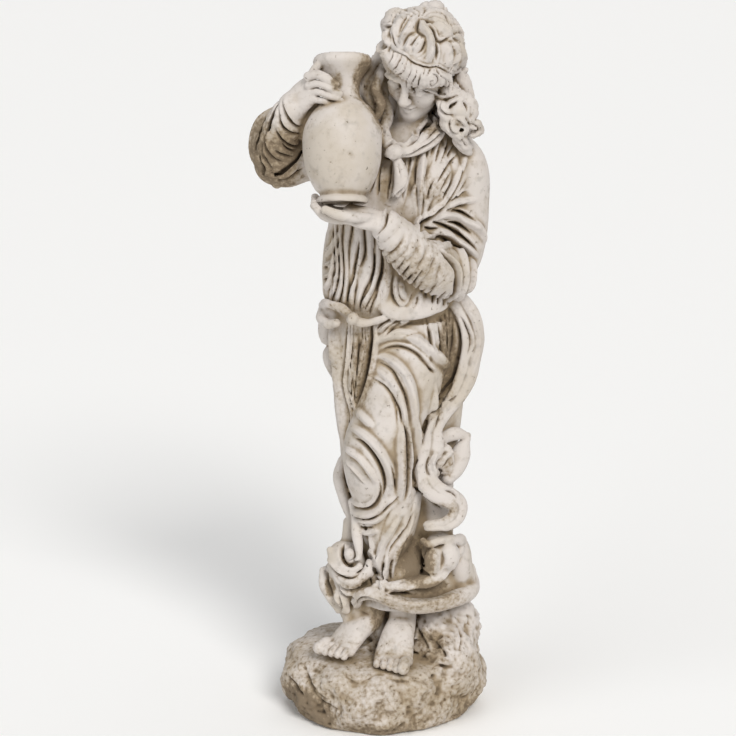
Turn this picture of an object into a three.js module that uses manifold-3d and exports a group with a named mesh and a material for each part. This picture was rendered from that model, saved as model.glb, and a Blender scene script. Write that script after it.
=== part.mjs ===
// A garden statue: a woman carrying a water jug, cast as one solid with the rock she stands on.
// Millimetres, +Z up. The origin is the middle of the rock's flat underside. She faces -Y, and
// +X is her left. Every form is a closed skin of rings, and all of them are joined at the end.
import * as THREE from "three";
import { mergeVertices } from "three/addons/utils/BufferGeometryUtils.js";
import Module from "manifold-3d";

const wasm = await Module();
wasm.setup();

// Driving dimensions.
const rock = { halfWidth: 122, halfDepth: 112, top: 78 };
const hemHeight = 142;
const beltHeight = 484;
const neckBase = new THREE.Vector3(30, -6, 692);
const skull = new THREE.Vector3(40, -36, 780);
const jug = { foot: new THREE.Vector3(-46, -80, 627), length: 166, lean: 18, mouth: 12, recess: 40 };
const fingerRadius = 4.4;
const toeRadius = 5;
const faceCount = 9900;

const stone = new THREE.MeshStandardMaterial({ color: 0xcdc3b4, roughness: 0.85, metalness: 0 });

const v3 = (x, y, z) => new THREE.Vector3(x, y, z);
const radians = THREE.MathUtils.degToRad;
const ease = (low, high, x) => THREE.MathUtils.smoothstep(x, low, high);

// A smooth curve through rows of numbers, whose first column is the place along it.
function smoothTable(rows) {
  const width = rows[0].length - 1;
  const places = rows.map((row) => row[0]);
  const values = rows.flatMap((row) => row.slice(1));
  const curve = new THREE.CubicInterpolant(places, values, width);
  return (place) => Array.from(curve.evaluate(place));
}

// Joins rings of points, each counter-clockwise about the way they advance, into a closed skin.
function skin(rings) {
  const sides = rings[0].length;
  const points = rings.flat();
  const middle = (ring) => ring.reduce((sum, p) => sum.add(p), v3(0, 0, 0)).divideScalar(sides);
  const first = points.length;
  const last = first + 1;
  points.push(middle(rings[0]), middle(rings[rings.length - 1]));
  const faces = [];
  const lastRing = (rings.length - 1) * sides;
  for (let side = 0; side < sides; side += 1) {
    const next = (side + 1) % sides;
    for (let start = 0; start < lastRing; start += sides) {
      const [a, b, c, d] = [start + side, start + next, start + sides + side, start + sides + next];
      faces.push(a, b, d, a, d, c);
    }
    faces.push(first, next, side, last, lastRing + side, lastRing + next);
  }
  return new THREE.BufferGeometry().setFromPoints(points).setIndex(faces);
}

// A standing form. Each level is [z, x, y, half width, half depth]. Every second corner of a ring
// stands proud by pleat(angle, z), which makes flutes, and turn(z) winds them round the form.
// relief(angle, z) adds broader swellings.
function column({ levels, sides, rings, pleat = () => 0, turn = () => 0, relief = () => 0 }) {
  const section = smoothTable(levels);
  const low = levels[0][0];
  const high = levels[levels.length - 1][0];
  const made = [];
  for (let ring = 0; ring <= rings; ring += 1) {
    const z = THREE.MathUtils.lerp(low, high, ring / rings);
    const [x, y, halfWidth, halfDepth] = section(z);
    const corners = [];
    for (let side = 0; side < sides; side += 1) {
      const angle = (side / sides) * 2 * Math.PI + radians(turn(z));
      const proud = (side % 2 ? 1 : -1) * pleat(angle, z) + relief(angle, z);
      corners.push(
        v3(x + (halfWidth + proud) * Math.cos(angle), y + (halfDepth + proud) * Math.sin(angle), z),
      );
    }
    made.push(corners);
  }
  return skin(made);
}

// The front of a standing form: the point at (x, z) on it, set in or out along Y.
function frontOf(levels) {
  const section = smoothTable(levels);
  return (x, z, out = 0) => {
    const [middle, y, halfWidth, halfDepth] = section(z);
    const across = THREE.MathUtils.clamp((x - middle) / halfWidth, -0.98, 0.98);
    return v3(x, y - (halfDepth + out) * Math.sqrt(1 - across * across), z);
  };
}

// A form along a curve. Each size is a radius, or [across, through] where it is flatter in the
// way it faces. Every second ring stands proud by ruche(t).
function limb({ path, sizes, facing = v3(0, -1, 0), sides = 10, rings = 8, ruche = () => 0 }) {
  const curve = new THREE.CatmullRomCurve3(path, false, "centripetal");
  const pairs = sizes.map((size) => (Array.isArray(size) ? size : [size, size]));
  const rows = pairs.map((pair, i) => [i / (sizes.length - 1), ...pair]);
  const section = smoothTable(rows);
  const made = [];
  for (let ring = 0; ring <= rings; ring += 1) {
    const t = ring / rings;
    const centre = curve.getPoint(t);
    const along = curve.getTangent(t);
    const through = facing.clone().addScaledVector(along, -facing.dot(along)).normalize();
    const across = through.clone().cross(along);
    const [halfAcross, halfThrough] = section(t);
    const proud = (ring % 2 ? 1 : -1) * ruche(t);
    const corners = [];
    for (let side = 0; side < sides; side += 1) {
      const angle = (side / sides) * 2 * Math.PI;
      corners.push(
        centre
          .clone()
          .addScaledVector(across, (halfAcross + proud) * Math.cos(angle))
          .addScaledVector(through, (halfThrough + proud) * Math.sin(angle)),
      );
    }
    made.push(corners);
  }
  return skin(made);
}

// An egg of three radii, with its own turn about Z, X and Y in degrees.
function egg(centre, radii, turned = [0, 0, 0], across = 12, down = 8) {
  const geometry = new THREE.SphereGeometry(1, across, down).rotateX(Math.PI / 2).scale(...radii);
  const [aboutZ, aboutX, aboutY] = turned.map(radians);
  const euler = new THREE.Euler(aboutX, aboutY, aboutZ, "ZXY");
  geometry.applyMatrix4(new THREE.Matrix4().makeRotationFromEuler(euler));
  return geometry.translate(...centre.toArray());
}

const forms = [];
const add = (...geometries) => forms.push(...geometries);

// The rock: a squat boulder that rises behind her heels and under the hem, most of all on her left.
const crag = (angle, z) =>
  4 * Math.sin(3 * angle + 0.6) + 2.5 * Math.sin(7 * angle + z / 18) + 2 * Math.sin(11 * angle - z / 11);
add(
  column({
    levels: [
      [0, 0, 0, 102, 94],
      [20, 0, 0, 117, 108],
      [42, 0, 0, rock.halfWidth - 4, rock.halfDepth - 4],
      [62, 0, 0, 108, 99],
      [74, 0, 0, 88, 80],
      [rock.top + 3, 0, 0, 50, 44],
    ],
    sides: 36,
    rings: 7,
    relief: (angle, z) => crag(angle, z) * ease(-30, 30, z) * (1 - ease(60, 84, z)),
  }),
  egg(v3(72, 18, 84), [42, 44, 52], [20, 8, -6], 14, 9),
  egg(v3(24, 30, 88), [48, 36, 62], [0, 0, 0], 14, 9),
  egg(v3(54, -18, 84), [24, 26, 34], [0, 0, 20], 9, 6),
);

// The feet: a sole that widens from the heel to the ball, and five toes side by side.
function foot(ankle, heel, ball, side) {
  const along = ball.clone().sub(heel).setZ(0).normalize();
  const across = v3(-along.y, along.x, 0).multiplyScalar(side);
  const shin = ankle.clone().add(v3(0, 0, 34));
  const instep = ankle.clone().lerp(ball, 0.5).add(v3(0, 0, 3));
  add(
    limb({
      path: [shin, ankle, instep, ball],
      sizes: [[15, 15], [16, 16], [19, 13], [22, 8]],
      facing: along.clone().add(v3(0, 0, 0.9)),
      sides: 12,
      rings: 5,
    }),
    egg(heel, [14, 17, 16], [0, 0, 0], 8, 6),
  );
  for (let toe = 0; toe < 5; toe += 1) {
    const radius = toe === 0 ? toeRadius * 1.35 : toeRadius * (1.02 - 0.06 * toe);
    const root = ball.clone().addScaledVector(across, 15.5 - 8 * toe).addScaledVector(along, -2);
    const tip = root.clone().addScaledVector(along, 22 - 2.4 * toe).add(v3(0, 0, radius - 7));
    const knuckle = root.clone().lerp(tip, 0.55).add(v3(0, 0, 3));
    add(
      limb({
        path: [root, knuckle, tip],
        sizes: [radius, radius * 1.08, radius * 0.65],
        sides: 6,
        rings: 3,
        facing: v3(0, 0, 1),
      }),
    );
  }
}
foot(v3(22, -30, 118), v3(24, -8, 94), v3(11, -72, 82), 1);
foot(v3(-14, -24, 120), v3(-4, -8, 96), v3(-50, -50, 90), -1);

// The skirt: a column gathered at the belt, drawn in below the knees and spread at the hem.
const skirt = [
  [hemHeight - 4, 34, 2, 60, 48],
  [168, 26, 2, 56, 42],
  [205, 18, 2, 44, 38],
  [245, 10, -1, 46, 40],
  [282, 2, -2, 50, 43],
  [318, 0, -2, 52, 46],
  [378, 4, 2, 61, 52],
  [425, 9, 4, 68, 54],
  [456, 8, 2, 68, 49],
  [beltHeight + 8, 9, -3, 63, 40],
];
add(
  column({
    levels: skirt,
    sides: 44,
    rings: 14,
    pleat: (angle) => 1 + 2.4 * ease(-0.2, 0.9, Math.sin(angle)),
    turn: (z) => 10 * Math.sin(z / 90),
  }),
);

// Her bent left leg under the cloth, from the hip to the tied-in cloth above the hem.
const leg = [
  [174, 4, -36, 9, 12],
  [196, 4, -32, 18, 20],
  [214, 6, -30, 27, 25],
  [230, 5, -30, 33, 28],
  [262, 5, -32, 39, 31],
  [292, 0, -36, 43, 35],
  [322, -3, -40, 44, 38],
  [350, 0, -40, 43, 38],
  [385, 14, -34, 44, 39],
  [415, 22, -28, 44, 38],
  [447, 30, -20, 42, 36],
  [478, 34, -12, 40, 32],
];
add(column({ levels: leg, sides: 18, rings: 15 }));

// Folds that lie on the front of a standing form, each [size, [x, z], [x, z], ...] as it runs.
function drape(levels, folds, sides = 6) {
  const front = frontOf(levels);
  folds.forEach(([size, ...places]) => {
    const last = places.length - 1;
    const sink = (place) => (place === 0 || place === last ? -0.8 * size : 0);
    const path = places.map(([x, z], place) => front(x, z, sink(place)));
    const taper = [0.5 * size, size, size, 0.4 * size];
    add(limb({ path, sizes: taper, sides, rings: 2 + 2 * places.length }));
  });
}

// On the leg: two rolled edges across the hip, folds slipping off the thigh, rings round the knee,
// long folds down the inner side and gathers where the cloth is drawn in.
drape(leg, [
  [8, [-14, 456], [0, 466], [18, 464], [38, 452], [54, 434], [64, 412]],
  [8, [-13, 443], [2, 446], [18, 432], [28, 410], [33, 381], [35, 345]],
  [5, [-7, 434], [9, 417], [17, 392], [19, 364]],
  [5, [-20, 410], [-9, 408], [5, 390], [11, 366]],
  [5, [-40, 368], [-28, 366], [-12, 356]],
  [6, [-46, 346], [-25, 345], [-9, 330], [0, 307], [-1, 283]],
  [5, [-46, 330], [-32, 322], [-20, 301]],
  [7, [-42, 296], [-32, 281], [-18, 275], [-4, 288]],
  [6, [-34, 268], [-20, 256], [2, 266], [19, 288]],
  [7, [14, 374], [23, 337], [25, 301], [22, 270]],
  [7, [27, 395], [35, 347], [38, 310], [34, 270]],
  [8, [60, 410], [53, 370], [44, 335], [38, 300]],
  [6, [-20, 236], [-8, 205], [0, 182]],
  [6, [6, 245], [6, 208], [5, 180]],
  [6, [30, 228], [18, 202], [9, 180]],
]);

// On the skirt: a smooth column over the standing leg, flutes beside it, and hip gathers.
drape(skirt, [
  [11, [-52, 484], [-50, 420], [-44, 360], [-40, 300]],
  [4.5, [-38, 484], [-36, 420], [-35, 352]],
  [4.5, [-31, 484], [-32, 420], [-34, 361]],
  [4.5, [-23, 484], [-28, 430], [-30, 392]],
  [4.5, [-15, 484], [-22, 440], [-25, 410]],
]);
drape(leg, [
  [6, [2, 482], [10, 476], [22, 478]],
  [6, [44, 484], [52, 462], [60, 440]],
  [6, [58, 482], [64, 456], [68, 430]],
]);

// The far edge of the skirt behind the knee, and cloth that hangs behind her right hip.
add(
  limb({
    path: [v3(-46, -14, 345), v3(-50, -12, 312), v3(-50, -12, 292), v3(-42, -14, 270), v3(-34, -16, 240)],
    sizes: [6, 8, 8, 7, 5],
    sides: 6,
    rings: 8,
  }),
  egg(v3(-65, 6, 456), [11, 13, 15], [0, 0, 0], 8, 7),
  egg(v3(-60, 4, 431), [10, 10, 9], [0, 0, 0], 8, 6),
);

// The hem: a heavy roll that dips over the feet and rests on the rock.
const hem = [v3(-30, -40, 151), v3(-20, -54, 156), v3(-4, -58, 156), v3(13, -60, 151), v3(35, -60, 148)];
hem.push(v3(60, -54, 149), v3(84, -38, 150), v3(94, -8, 148), v3(84, 30, 152), v3(42, 52, 150));
hem.push(v3(-6, 42, 150), v3(-32, 10, 152));
add(
  limb({
    path: hem,
    sizes: [9, 10, 9, 9, 10, 11, 13, 14, 12, 10, 9, 9],
    sides: 8,
    rings: 26,
  }),
);

// Bunches of cloth at the hem. On her right a band turns up round a knob, over a hanging flap.
// On her left a bulging fold, finger-like folds and two loose layers lie above the hem. Each is
// [sizes, place, place, ...] as it runs.
const bunches = [
  [[6, 9, 10, 10], v3(-28, -46, 236), v3(-25, -50, 205), v3(-30, -48, 182), v3(-46, -42, 176)],
  [[12, 10, 8, 5], v3(-40, -42, 178), v3(-52, -36, 184), v3(-55, -32, 200), v3(-46, -34, 212)],
  [[10, 14, 13, 9], v3(-40, -32, 205), v3(-48, -26, 180), v3(-56, -24, 160), v3(-46, -28, 134)],
  [[6, 9, 9, 4], v3(-66, -20, 170), v3(-60, -22, 150), v3(-44, -28, 128), v3(-40, -30, 108)],
  [[6, 9, 10, 8], v3(46, -46, 219), v3(62, -46, 221), v3(80, -40, 219), v3(86, -28, 206)],
  [[8, 7], v3(54, -46, 214), v3(54, -48, 196)],
  [[8, 7], v3(66, -46, 214), v3(66, -48, 192)],
  [[8, 7], v3(76, -42, 214), v3(74, -44, 197)],
  [[11, 15, 17, 16], v3(80, -14, 216), v3(82, -14, 196), v3(86, -14, 178), v3(92, -14, 160)],
  [[7, 8, 8, 8], v3(10, -50, 172), v3(34, -52, 178), v3(60, -46, 184), v3(86, -28, 190)],
  [[6, 7, 7, 8], v3(0, -54, 164), v3(30, -56, 163), v3(60, -50, 166), v3(88, -32, 174)],
];
bunches.forEach(([sizes, ...path]) => {
  add(limb({ path, sizes, sides: 8, rings: 3 * path.length - 2 }));
});
add(egg(v3(-37, -46, 205), [7, 7, 7], [0, 0, 0], 7, 5));

// The scarf that falls from her left hip: a broad flat band that turns back on itself twice, with
// a pointed flap at the first turn.
const scarf = [v3(76, -18, 506), v3(94, -14, 484), v3(100, -10, 461), v3(99, -10, 437), v3(94, -14, 414)];
scarf.push(v3(84, -22, 393), v3(68, -32, 372), v3(54, -42, 356), v3(48, -48, 336), v3(48, -52, 312));
scarf.push(v3(54, -54, 292), v3(70, -48, 276), v3(80, -40, 262), v3(70, -42, 246), v3(46, -48, 241));
const scarfSizes = [[12, 6], [13, 7], [13, 7], [14, 7], [13, 7], [12, 7], [12, 7], [10, 7]];
scarfSizes.push([9, 7], [12, 8], [13, 8], [12, 8], [10, 9], [8, 10], [6, 8]);
const scarfFacing = v3(0.25, -1, 0.1);
add(
  limb({ path: scarf, sizes: scarfSizes, facing: scarfFacing, sides: 8, rings: 34 }),
  limb({
    path: [v3(56, -34, 350), v3(74, -30, 342), v3(94, -24, 340)],
    sizes: [[8, 7], [9, 7], [4, 4]],
    facing: scarfFacing,
    sides: 8,
    rings: 4,
  }),
  limb({
    path: [v3(94, -22, 342), v3(86, -26, 322), v3(76, -30, 302), v3(72, -32, 286)],
    sizes: [[4, 5], [11, 8], [9, 9], [8, 8]],
    facing: scarfFacing,
    sides: 8,
    rings: 5,
  }),
  // The backing of cloth that joins the scarf to the skirt behind it.
  column({
    levels: [
      [186, 66, -8, 18, 20],
      [230, 62, -8, 20, 22],
      [290, 56, -10, 26, 24],
      [340, 58, -8, 30, 22],
      [400, 66, -2, 28, 18],
      [460, 76, -2, 22, 16],
      [492, 74, -2, 18, 14],
    ],
    sides: 10,
    rings: 7,
  }),
);

// The blouse: gathered at the belt, bloused over it, and drawn up to both shoulders.
const blouse = [
  [beltHeight - 6, 9, -3, 62, 38],
  [500, 7, -6, 73, 46],
  [520, 7, -6, 75, 48],
  [560, 9, -5, 76, 50],
  [600, 17, -3, 75, 50],
  [640, 28, -1, 70, 49],
  [668, 32, -1, 64, 42],
  [688, 31, -5, 48, 31],
  [704, 31, -7, 26, 22],
];
add(
  column({
    levels: blouse,
    sides: 40,
    rings: 12,
    pleat: (angle, z) => 1 + 2 * (1 - ease(600, 690, z)),
    turn: (z) => 14 * ease(490, 640, z),
    relief: (angle, z) => {
      const front = ease(0.2, 1, -Math.sin(angle));
      return 7 * front * Math.exp(-(((z - 640) / 26) ** 2)) * Math.abs(Math.cos(angle)) ** 0.5;
    },
  }),
);

// On the blouse: gathers that run down to the belt, short rolls at her right side, a fold that
// turns up like a U under the forearm, the overhang above the belt, and folds off her shoulder.
drape(blouse, [
  [5, [-50, 585], [-48, 545], [-54, 500]],
  [5, [-38, 588], [-38, 550], [-44, 498]],
  [5, [-26, 588], [-27, 550], [-34, 494]],
  [5, [-14, 586], [-16, 545], [-23, 490]],
  [5, [-4, 580], [-5, 540], [-13, 490]],
  [5, [-66, 578], [-56, 558]],
  [5, [-68, 556], [-57, 534]],
  [5, [-66, 532], [-56, 510]],
  [6, [6, 560], [8, 530], [11, 514], [21, 506], [31, 512], [38, 526]],
  [8, [-4, 493], [10, 491], [26, 492], [52, 493], [72, 496]],
  [5, [52, 694], [44, 655], [26, 606]],
  [5, [62, 692], [58, 650], [42, 600]],
  [5, [72, 688], [70, 650], [58, 604]],
  [5, [80, 682], [80, 652], [72, 612]],
]);

// The belt: a cord round the waist with a knot in front of her right hip.
const beltLoop = [];
for (let step = 0; step < 24; step += 1) {
  const angle = (step / 24) * 2 * Math.PI + Math.PI / 2;
  const dip = 6 * Math.cos(2 * angle + 0.5);
  beltLoop.push(v3(6 + 72 * Math.cos(angle), -4 + 47 * Math.sin(angle), beltHeight + dip));
}
beltLoop.push(beltLoop[0].clone());
add(
  limb({ path: beltLoop, sizes: [[5, 6], [5, 6]], facing: v3(0, 0, 1), sides: 6, rings: 32 }),
  egg(v3(-35, -46, beltHeight), [8, 8, 8], [0, 0, 20], 8, 6),
);

// The neck, and a shawl that runs from the left shoulder to a knot on the chest.
add(
  limb({
    path: [v3(30, -4, 676), neckBase, v3(35, -20, 726), v3(38, -30, 750)],
    sizes: [24, 20, 18, 20],
    sides: 12,
    rings: 5,
  }),
  limb({
    path: [v3(30, 26, 700), v3(62, 12, 702), v3(62, -22, 700), v3(36, -48, 686), v3(10, -57, 678)],
    sizes: [[7, 7], [8, 8], [9, 8], [9, 7], [8, 7]],
    sides: 8,
    rings: 11,
  }),
  limb({
    path: [v3(10, -56, 680), v3(-6, -46, 692), v3(-14, -20, 702), v3(2, 14, 704), v3(30, 26, 700)],
    sizes: [[8, 7], [8, 6], [8, 7], [8, 8], [7, 7]],
    sides: 8,
    rings: 10,
  }),
  egg(v3(9, -58, 680), [10, 8, 9], [0, 0, 0], 8, 6),
  limb({
    path: [v3(9, -57, 674), v3(6, -62, 652), v3(4, -62, 626)],
    sizes: [[8, 5], [11, 5], [9, 3]],
    sides: 8,
    rings: 6,
    ruche: () => 1,
  }),
);

// A sleeve: a full upper arm and a ruched forearm.
function sleeve({ upper, upperSizes, lower, lowerSizes, ruche }) {
  add(
    limb({ path: upper, sizes: upperSizes, sides: 14, rings: 8, facing: v3(0.3, -1, 0.2) }),
    limb({
      path: lower,
      sizes: lowerSizes,
      sides: 12,
      rings: 14,
      ruche: () => ruche,
      facing: v3(0.2, -1, 0.6),
    }),
  );
}
sleeve({
  upper: [v3(66, -2, 684), v3(88, 0, 660), v3(93, 0, 606), v3(90, -8, 552), v3(80, -22, 520)],
  upperSizes: [16, 26, 26, 26, 22],
  lower: [v3(84, -24, 532), v3(54, -50, 548), v3(24, -72, 576), v3(4, -84, 600)],
  lowerSizes: [29, 29, 26, 18],
  ruche: 1.2,
});
sleeve({
  upper: [v3(4, 0, 664), v3(-40, 0, 668), v3(-88, -4, 662), v3(-122, -12, 658)],
  upperSizes: [24, 31, 29, 26],
  lower: [v3(-124, -10, 650), v3(-118, -22, 680), v3(-108, -36, 706), v3(-98, -46, 724)],
  lowerSizes: [24, 23, 20, 14],
  ruche: 0.9,
});

// Folds of the sleeves: off the crook of her left elbow, and the loose cloth that hangs outside
// her right forearm.
const sleeveFolds = [
  { path: [v3(50, -44, 602), v3(76, -34, 618), v3(100, -20, 634)], size: 5 },
  { path: [v3(44, -50, 590), v3(76, -36, 600), v3(108, -18, 604)], size: 6 },
  { path: [v3(48, -56, 584), v3(78, -42, 584), v3(108, -20, 578)], size: 6 },
  { path: [v3(56, -58, 574), v3(82, -44, 566), v3(106, -22, 552)], size: 6 },
  { path: [v3(96, -24, 560), v3(100, -28, 536), v3(88, -38, 514)], size: 7 },
];
for (let fold = 0; fold < 3; fold += 1) {
  const out = 4 * fold;
  sleeveFolds.push({
    path: [
      v3(-108 - out, -34 + 8 * fold, 726 - 2 * fold),
      v3(-130 - out, -22 + 6 * fold, 702),
      v3(-139 - out / 2, -14 + 4 * fold, 666),
      v3(-120, -16, 638),
    ],
    size: 7,
  });
}
sleeveFolds.forEach(({ path, size }) => {
  add(limb({ path, sizes: [0.6 * size, size, size, 0.8 * size], sides: 6, rings: 6 }));
});

// A hand: a palm and five fingers, each through a knuckle to its tip.
function hand({ palm, palmSizes, facing, fingers }) {
  add(limb({ path: palm, sizes: palmSizes, facing, sides: 10, rings: 6 }));
  fingers.forEach((path, finger) => {
    const radius = fingerRadius * (1 - 0.04 * finger);
    const sizes = [radius * 1.1, radius, radius, radius * 0.7];
    add(limb({ path, sizes, sides: 6, rings: 5, facing: v3(0, -0.3, 1) }));
  });
}
// Her left hand is a shelf under the jug's foot, the thumb lying along its front.
hand({
  palm: [v3(10, -82, 594), v3(-6, -87, 606), v3(-24, -86, 612), v3(-40, -82, 616)],
  palmSizes: [[10, 10], [13, 10], [17, 9], [16, 7]],
  facing: v3(0, -0.4, 1),
  fingers: [
    [v3(-14, -94, 612), v3(-34, -108, 616), v3(-52, -110, 620), v3(-64, -106, 624)],
    ...[0, 1, 2, 3].map((i) => [
      v3(-34, -92 + 9 * i, 611 + i),
      v3(-52, -98 + 12 * i, 612 + i),
      v3(-66, -96 + 12 * i, 616 + i),
      v3(-76, -90 + 11 * i, 625 + i),
    ]),
  ],
});
// Her right hand lies over the jug's neck, the forefinger raised to the lip.
hand({
  palm: [v3(-104, -40, 716), v3(-94, -48, 732), v3(-82, -56, 744), v3(-74, -60, 750)],
  palmSizes: [[11, 11], [12, 10], [16, 9], [16, 8]],
  facing: v3(-0.5, -0.9, 0.5),
  fingers: [
    [v3(-80, -50, 756), v3(-72, -48, 766), v3(-66, -48, 774), v3(-62, -50, 780)],
    ...[0, 1, 2, 3].map((i) => [
      v3(-76, -64 + i, 760 - 7 * i),
      v3(-64, -70 + i, 761 - 7 * i),
      v3(-52, -70 - i, 757 - 6 * i),
      v3(-44, -66 - 2 * i, 750 - 5 * i),
    ]),
  ],
});

// The jug: a turned body with a flared foot and lip, its mouth sunk as the cast leaves it.
const jugProfile = [
  [27, 0],
  [27.5, 3],
  [25.5, 7],
  [30, 14],
  [36.5, 26],
  [41.5, 42],
  [43.5, 60],
  [41, 86],
  [32, 103],
  [21, 115],
  [17.5, 127],
  [18.5, 138],
  [24, 147],
  [31, 154],
  [31.5, 159],
  [28, 164],
  [23, jug.length],
];
const jugThroat = [
  [17, 158],
  [13, 146],
  [jug.mouth, jug.length - jug.recess],
];
const jugOutline = [[0, 0], ...jugProfile, ...jugThroat, [0, jug.length - jug.recess]].map(
  ([radius, along]) => new THREE.Vector2(radius, along),
);
const jugPlace = new THREE.Matrix4()
  .makeTranslation(...jug.foot.toArray())
  .multiply(new THREE.Matrix4().makeRotationX(-radians(jug.lean)));
const jugMouth = new THREE.CylinderGeometry(jug.mouth, jug.mouth, jug.recess, 10)
  .rotateX(Math.PI / 2)
  .translate(0, 0, jug.length - jug.recess / 2 + 1)
  .applyMatrix4(jugPlace);
add(new THREE.LatheGeometry(jugOutline, 26).rotateX(Math.PI / 2).applyMatrix4(jugPlace));

// The head is modelled upright about the middle of the skull, then bowed and turned to the jug.
const headTurn = new THREE.Matrix4()
  .makeTranslation(...skull.toArray())
  .multiply(new THREE.Matrix4().makeRotationZ(radians(-24)))
  .multiply(new THREE.Matrix4().makeRotationX(radians(34)))
  .multiply(new THREE.Matrix4().makeRotationY(radians(10)));
const onHead = (geometry) => add(geometry.applyMatrix4(headTurn));
onHead(egg(v3(0, 2, 4), [38, 44, 43], [0, 0, 0], 16, 11));
onHead(egg(v3(0, -17, -26), [27, 27, 33], [0, 0, 0], 12, 9));
const nose = [v3(0, -40, 2), v3(0, -47, -12), v3(0, -50, -20)];
onHead(limb({ path: nose, sizes: [3.5, 4.5, 6], sides: 6, rings: 3, facing: v3(0, -1, 0.2) }));
onHead(egg(v3(0, -42, -34), [9, 5, 4.5], [0, 0, 0], 8, 6));
onHead(egg(v3(0, -38, -48), [11, 9, 9], [0, 0, 0], 8, 6));
[-1, 1].forEach((side) => {
  onHead(egg(v3(side * 15, -37, -2), [9, 5, 5], [0, 0, 0], 8, 6));
  onHead(egg(v3(side * 15, -30, -22), [12, 12, 12], [0, 0, 0], 8, 6));
});

// The hair: a full cap parted in the middle, a plaited band over it, waves swept back from the
// brow on either side, and a low knot behind.
const hairAt = (turn, rise, proud = 0) => {
  const [across, deep, tall] = [46 + proud, 49 + proud, 44 + proud];
  return v3(
    across * Math.sin(turn) * Math.cos(rise),
    6 - deep * Math.cos(turn) * Math.cos(rise),
    10 + tall * Math.sin(rise),
  );
};
[-1, 1].forEach((side) => {
  onHead(egg(v3(side * 4, 6, 10), [43, 49, 44], [0, 0, side * 4], 14, 10));
  // Each lock is [turn, rise] from the parting to where it slips under the next.
  const locks = [
    [[0.1, 0.62], [0.5, 0.42], [0.95, 0.1], [1.5, -0.2]],
    [[0.15, 0.4], [0.55, 0.18], [1, -0.12], [1.5, -0.45]],
    [[0.1, 1.25], [0.7, 1.05], [1.15, 0.62], [1.5, 0.2]],
    [[0.3, 1.5], [1.3, 1.15], [1.7, 0.7], [1.9, 0.3]],
  ];
  locks.forEach((lock) => {
    const path = lock.map(([turn, rise]) => hairAt(side * turn, rise, -1));
    const facing = v3(0, -0.3, 1);
    onHead(limb({ path, sizes: [5, 8, 8, 6], sides: 6, rings: 8, ruche: () => 0.8, facing }));
  });
});
const bandTurns = [-1.5, -1.1, -0.6, 0, 0.6, 1.1, 1.5];
const bandPath = bandTurns.map((turn) => hairAt(turn, 0.75 - 0.2 * turn ** 2, 1));
onHead(limb({ path: bandPath, sizes: [4, 4], sides: 6, rings: 14, facing: v3(0, -0.5, 1) }));
onHead(egg(v3(0, 46, 20), [20, 16, 18], [0, 0, 0], 10, 8));
for (let lock = -2; lock <= 2; lock += 1) {
  const path = [[0.5, 0.75], [0.62, 0.2], [0.7, -0.35]].map(([turn, rise]) => {
    return hairAt(Math.PI + lock * turn, rise, -2);
  });
  onHead(limb({ path, sizes: [5, 9, 6], sides: 6, rings: 6, ruche: () => 0.8, facing: v3(0, 1, 0.2) }));
}

// Curls that fall from under the waves to the shoulders, and a hooked one over the left, each
// [size, place, place, ...] from the top down.
const curls = [
  [11, v3(22, 8, 760), v3(12, 18, 738), v3(22, 22, 716), v3(14, 24, 694)],
  [12, v3(46, 8, 762), v3(40, 20, 738), v3(50, 24, 714), v3(40, 28, 688)],
  [11, v3(72, 0, 760), v3(68, 14, 736), v3(78, 16, 714), v3(70, 20, 692)],
  [10, v3(76, -34, 758), v3(88, -34, 738), v3(80, -42, 720), v3(92, -38, 704), v3(104, -26, 692)],
  [9, v3(66, -44, 752), v3(74, -46, 730), v3(68, -46, 708), v3(80, -40, 690)],
  [10, v3(88, -16, 756), v3(98, -18, 734), v3(94, -24, 712), v3(100, -18, 698)],
  [7, v3(4, -20, 750), v3(-2, -26, 728), v3(4, -30, 712), v3(0, -34, 698)],
];
curls.forEach(([size, ...path]) => {
  const sizes = [size, size * 1.1, size, size * 0.6];
  add(limb({ path, sizes, sides: 7, rings: 9, ruche: () => 1.2 }));
});

// A geometry's closed mesh, with shared corners merged, as a solid that can be joined.
function solid(geometry) {
  const bare = new THREE.BufferGeometry().setAttribute("position", geometry.getAttribute("position"));
  bare.setIndex(geometry.getIndex());
  const merged = mergeVertices(bare, 1e-3);
  const triVerts = [];
  for (let i = 0; i < merged.index.count; i += 3) {
    const [a, b, c] = [0, 1, 2].map((k) => merged.index.getX(i + k));
    if (a !== b && b !== c && c !== a) triVerts.push(a, b, c);
  }
  const vertProperties = merged.getAttribute("position").array;
  const mesh = new wasm.Mesh({ numProp: 3, vertProperties, triVerts: new Uint32Array(triVerts) });
  return new wasm.Manifold(mesh);
}

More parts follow.
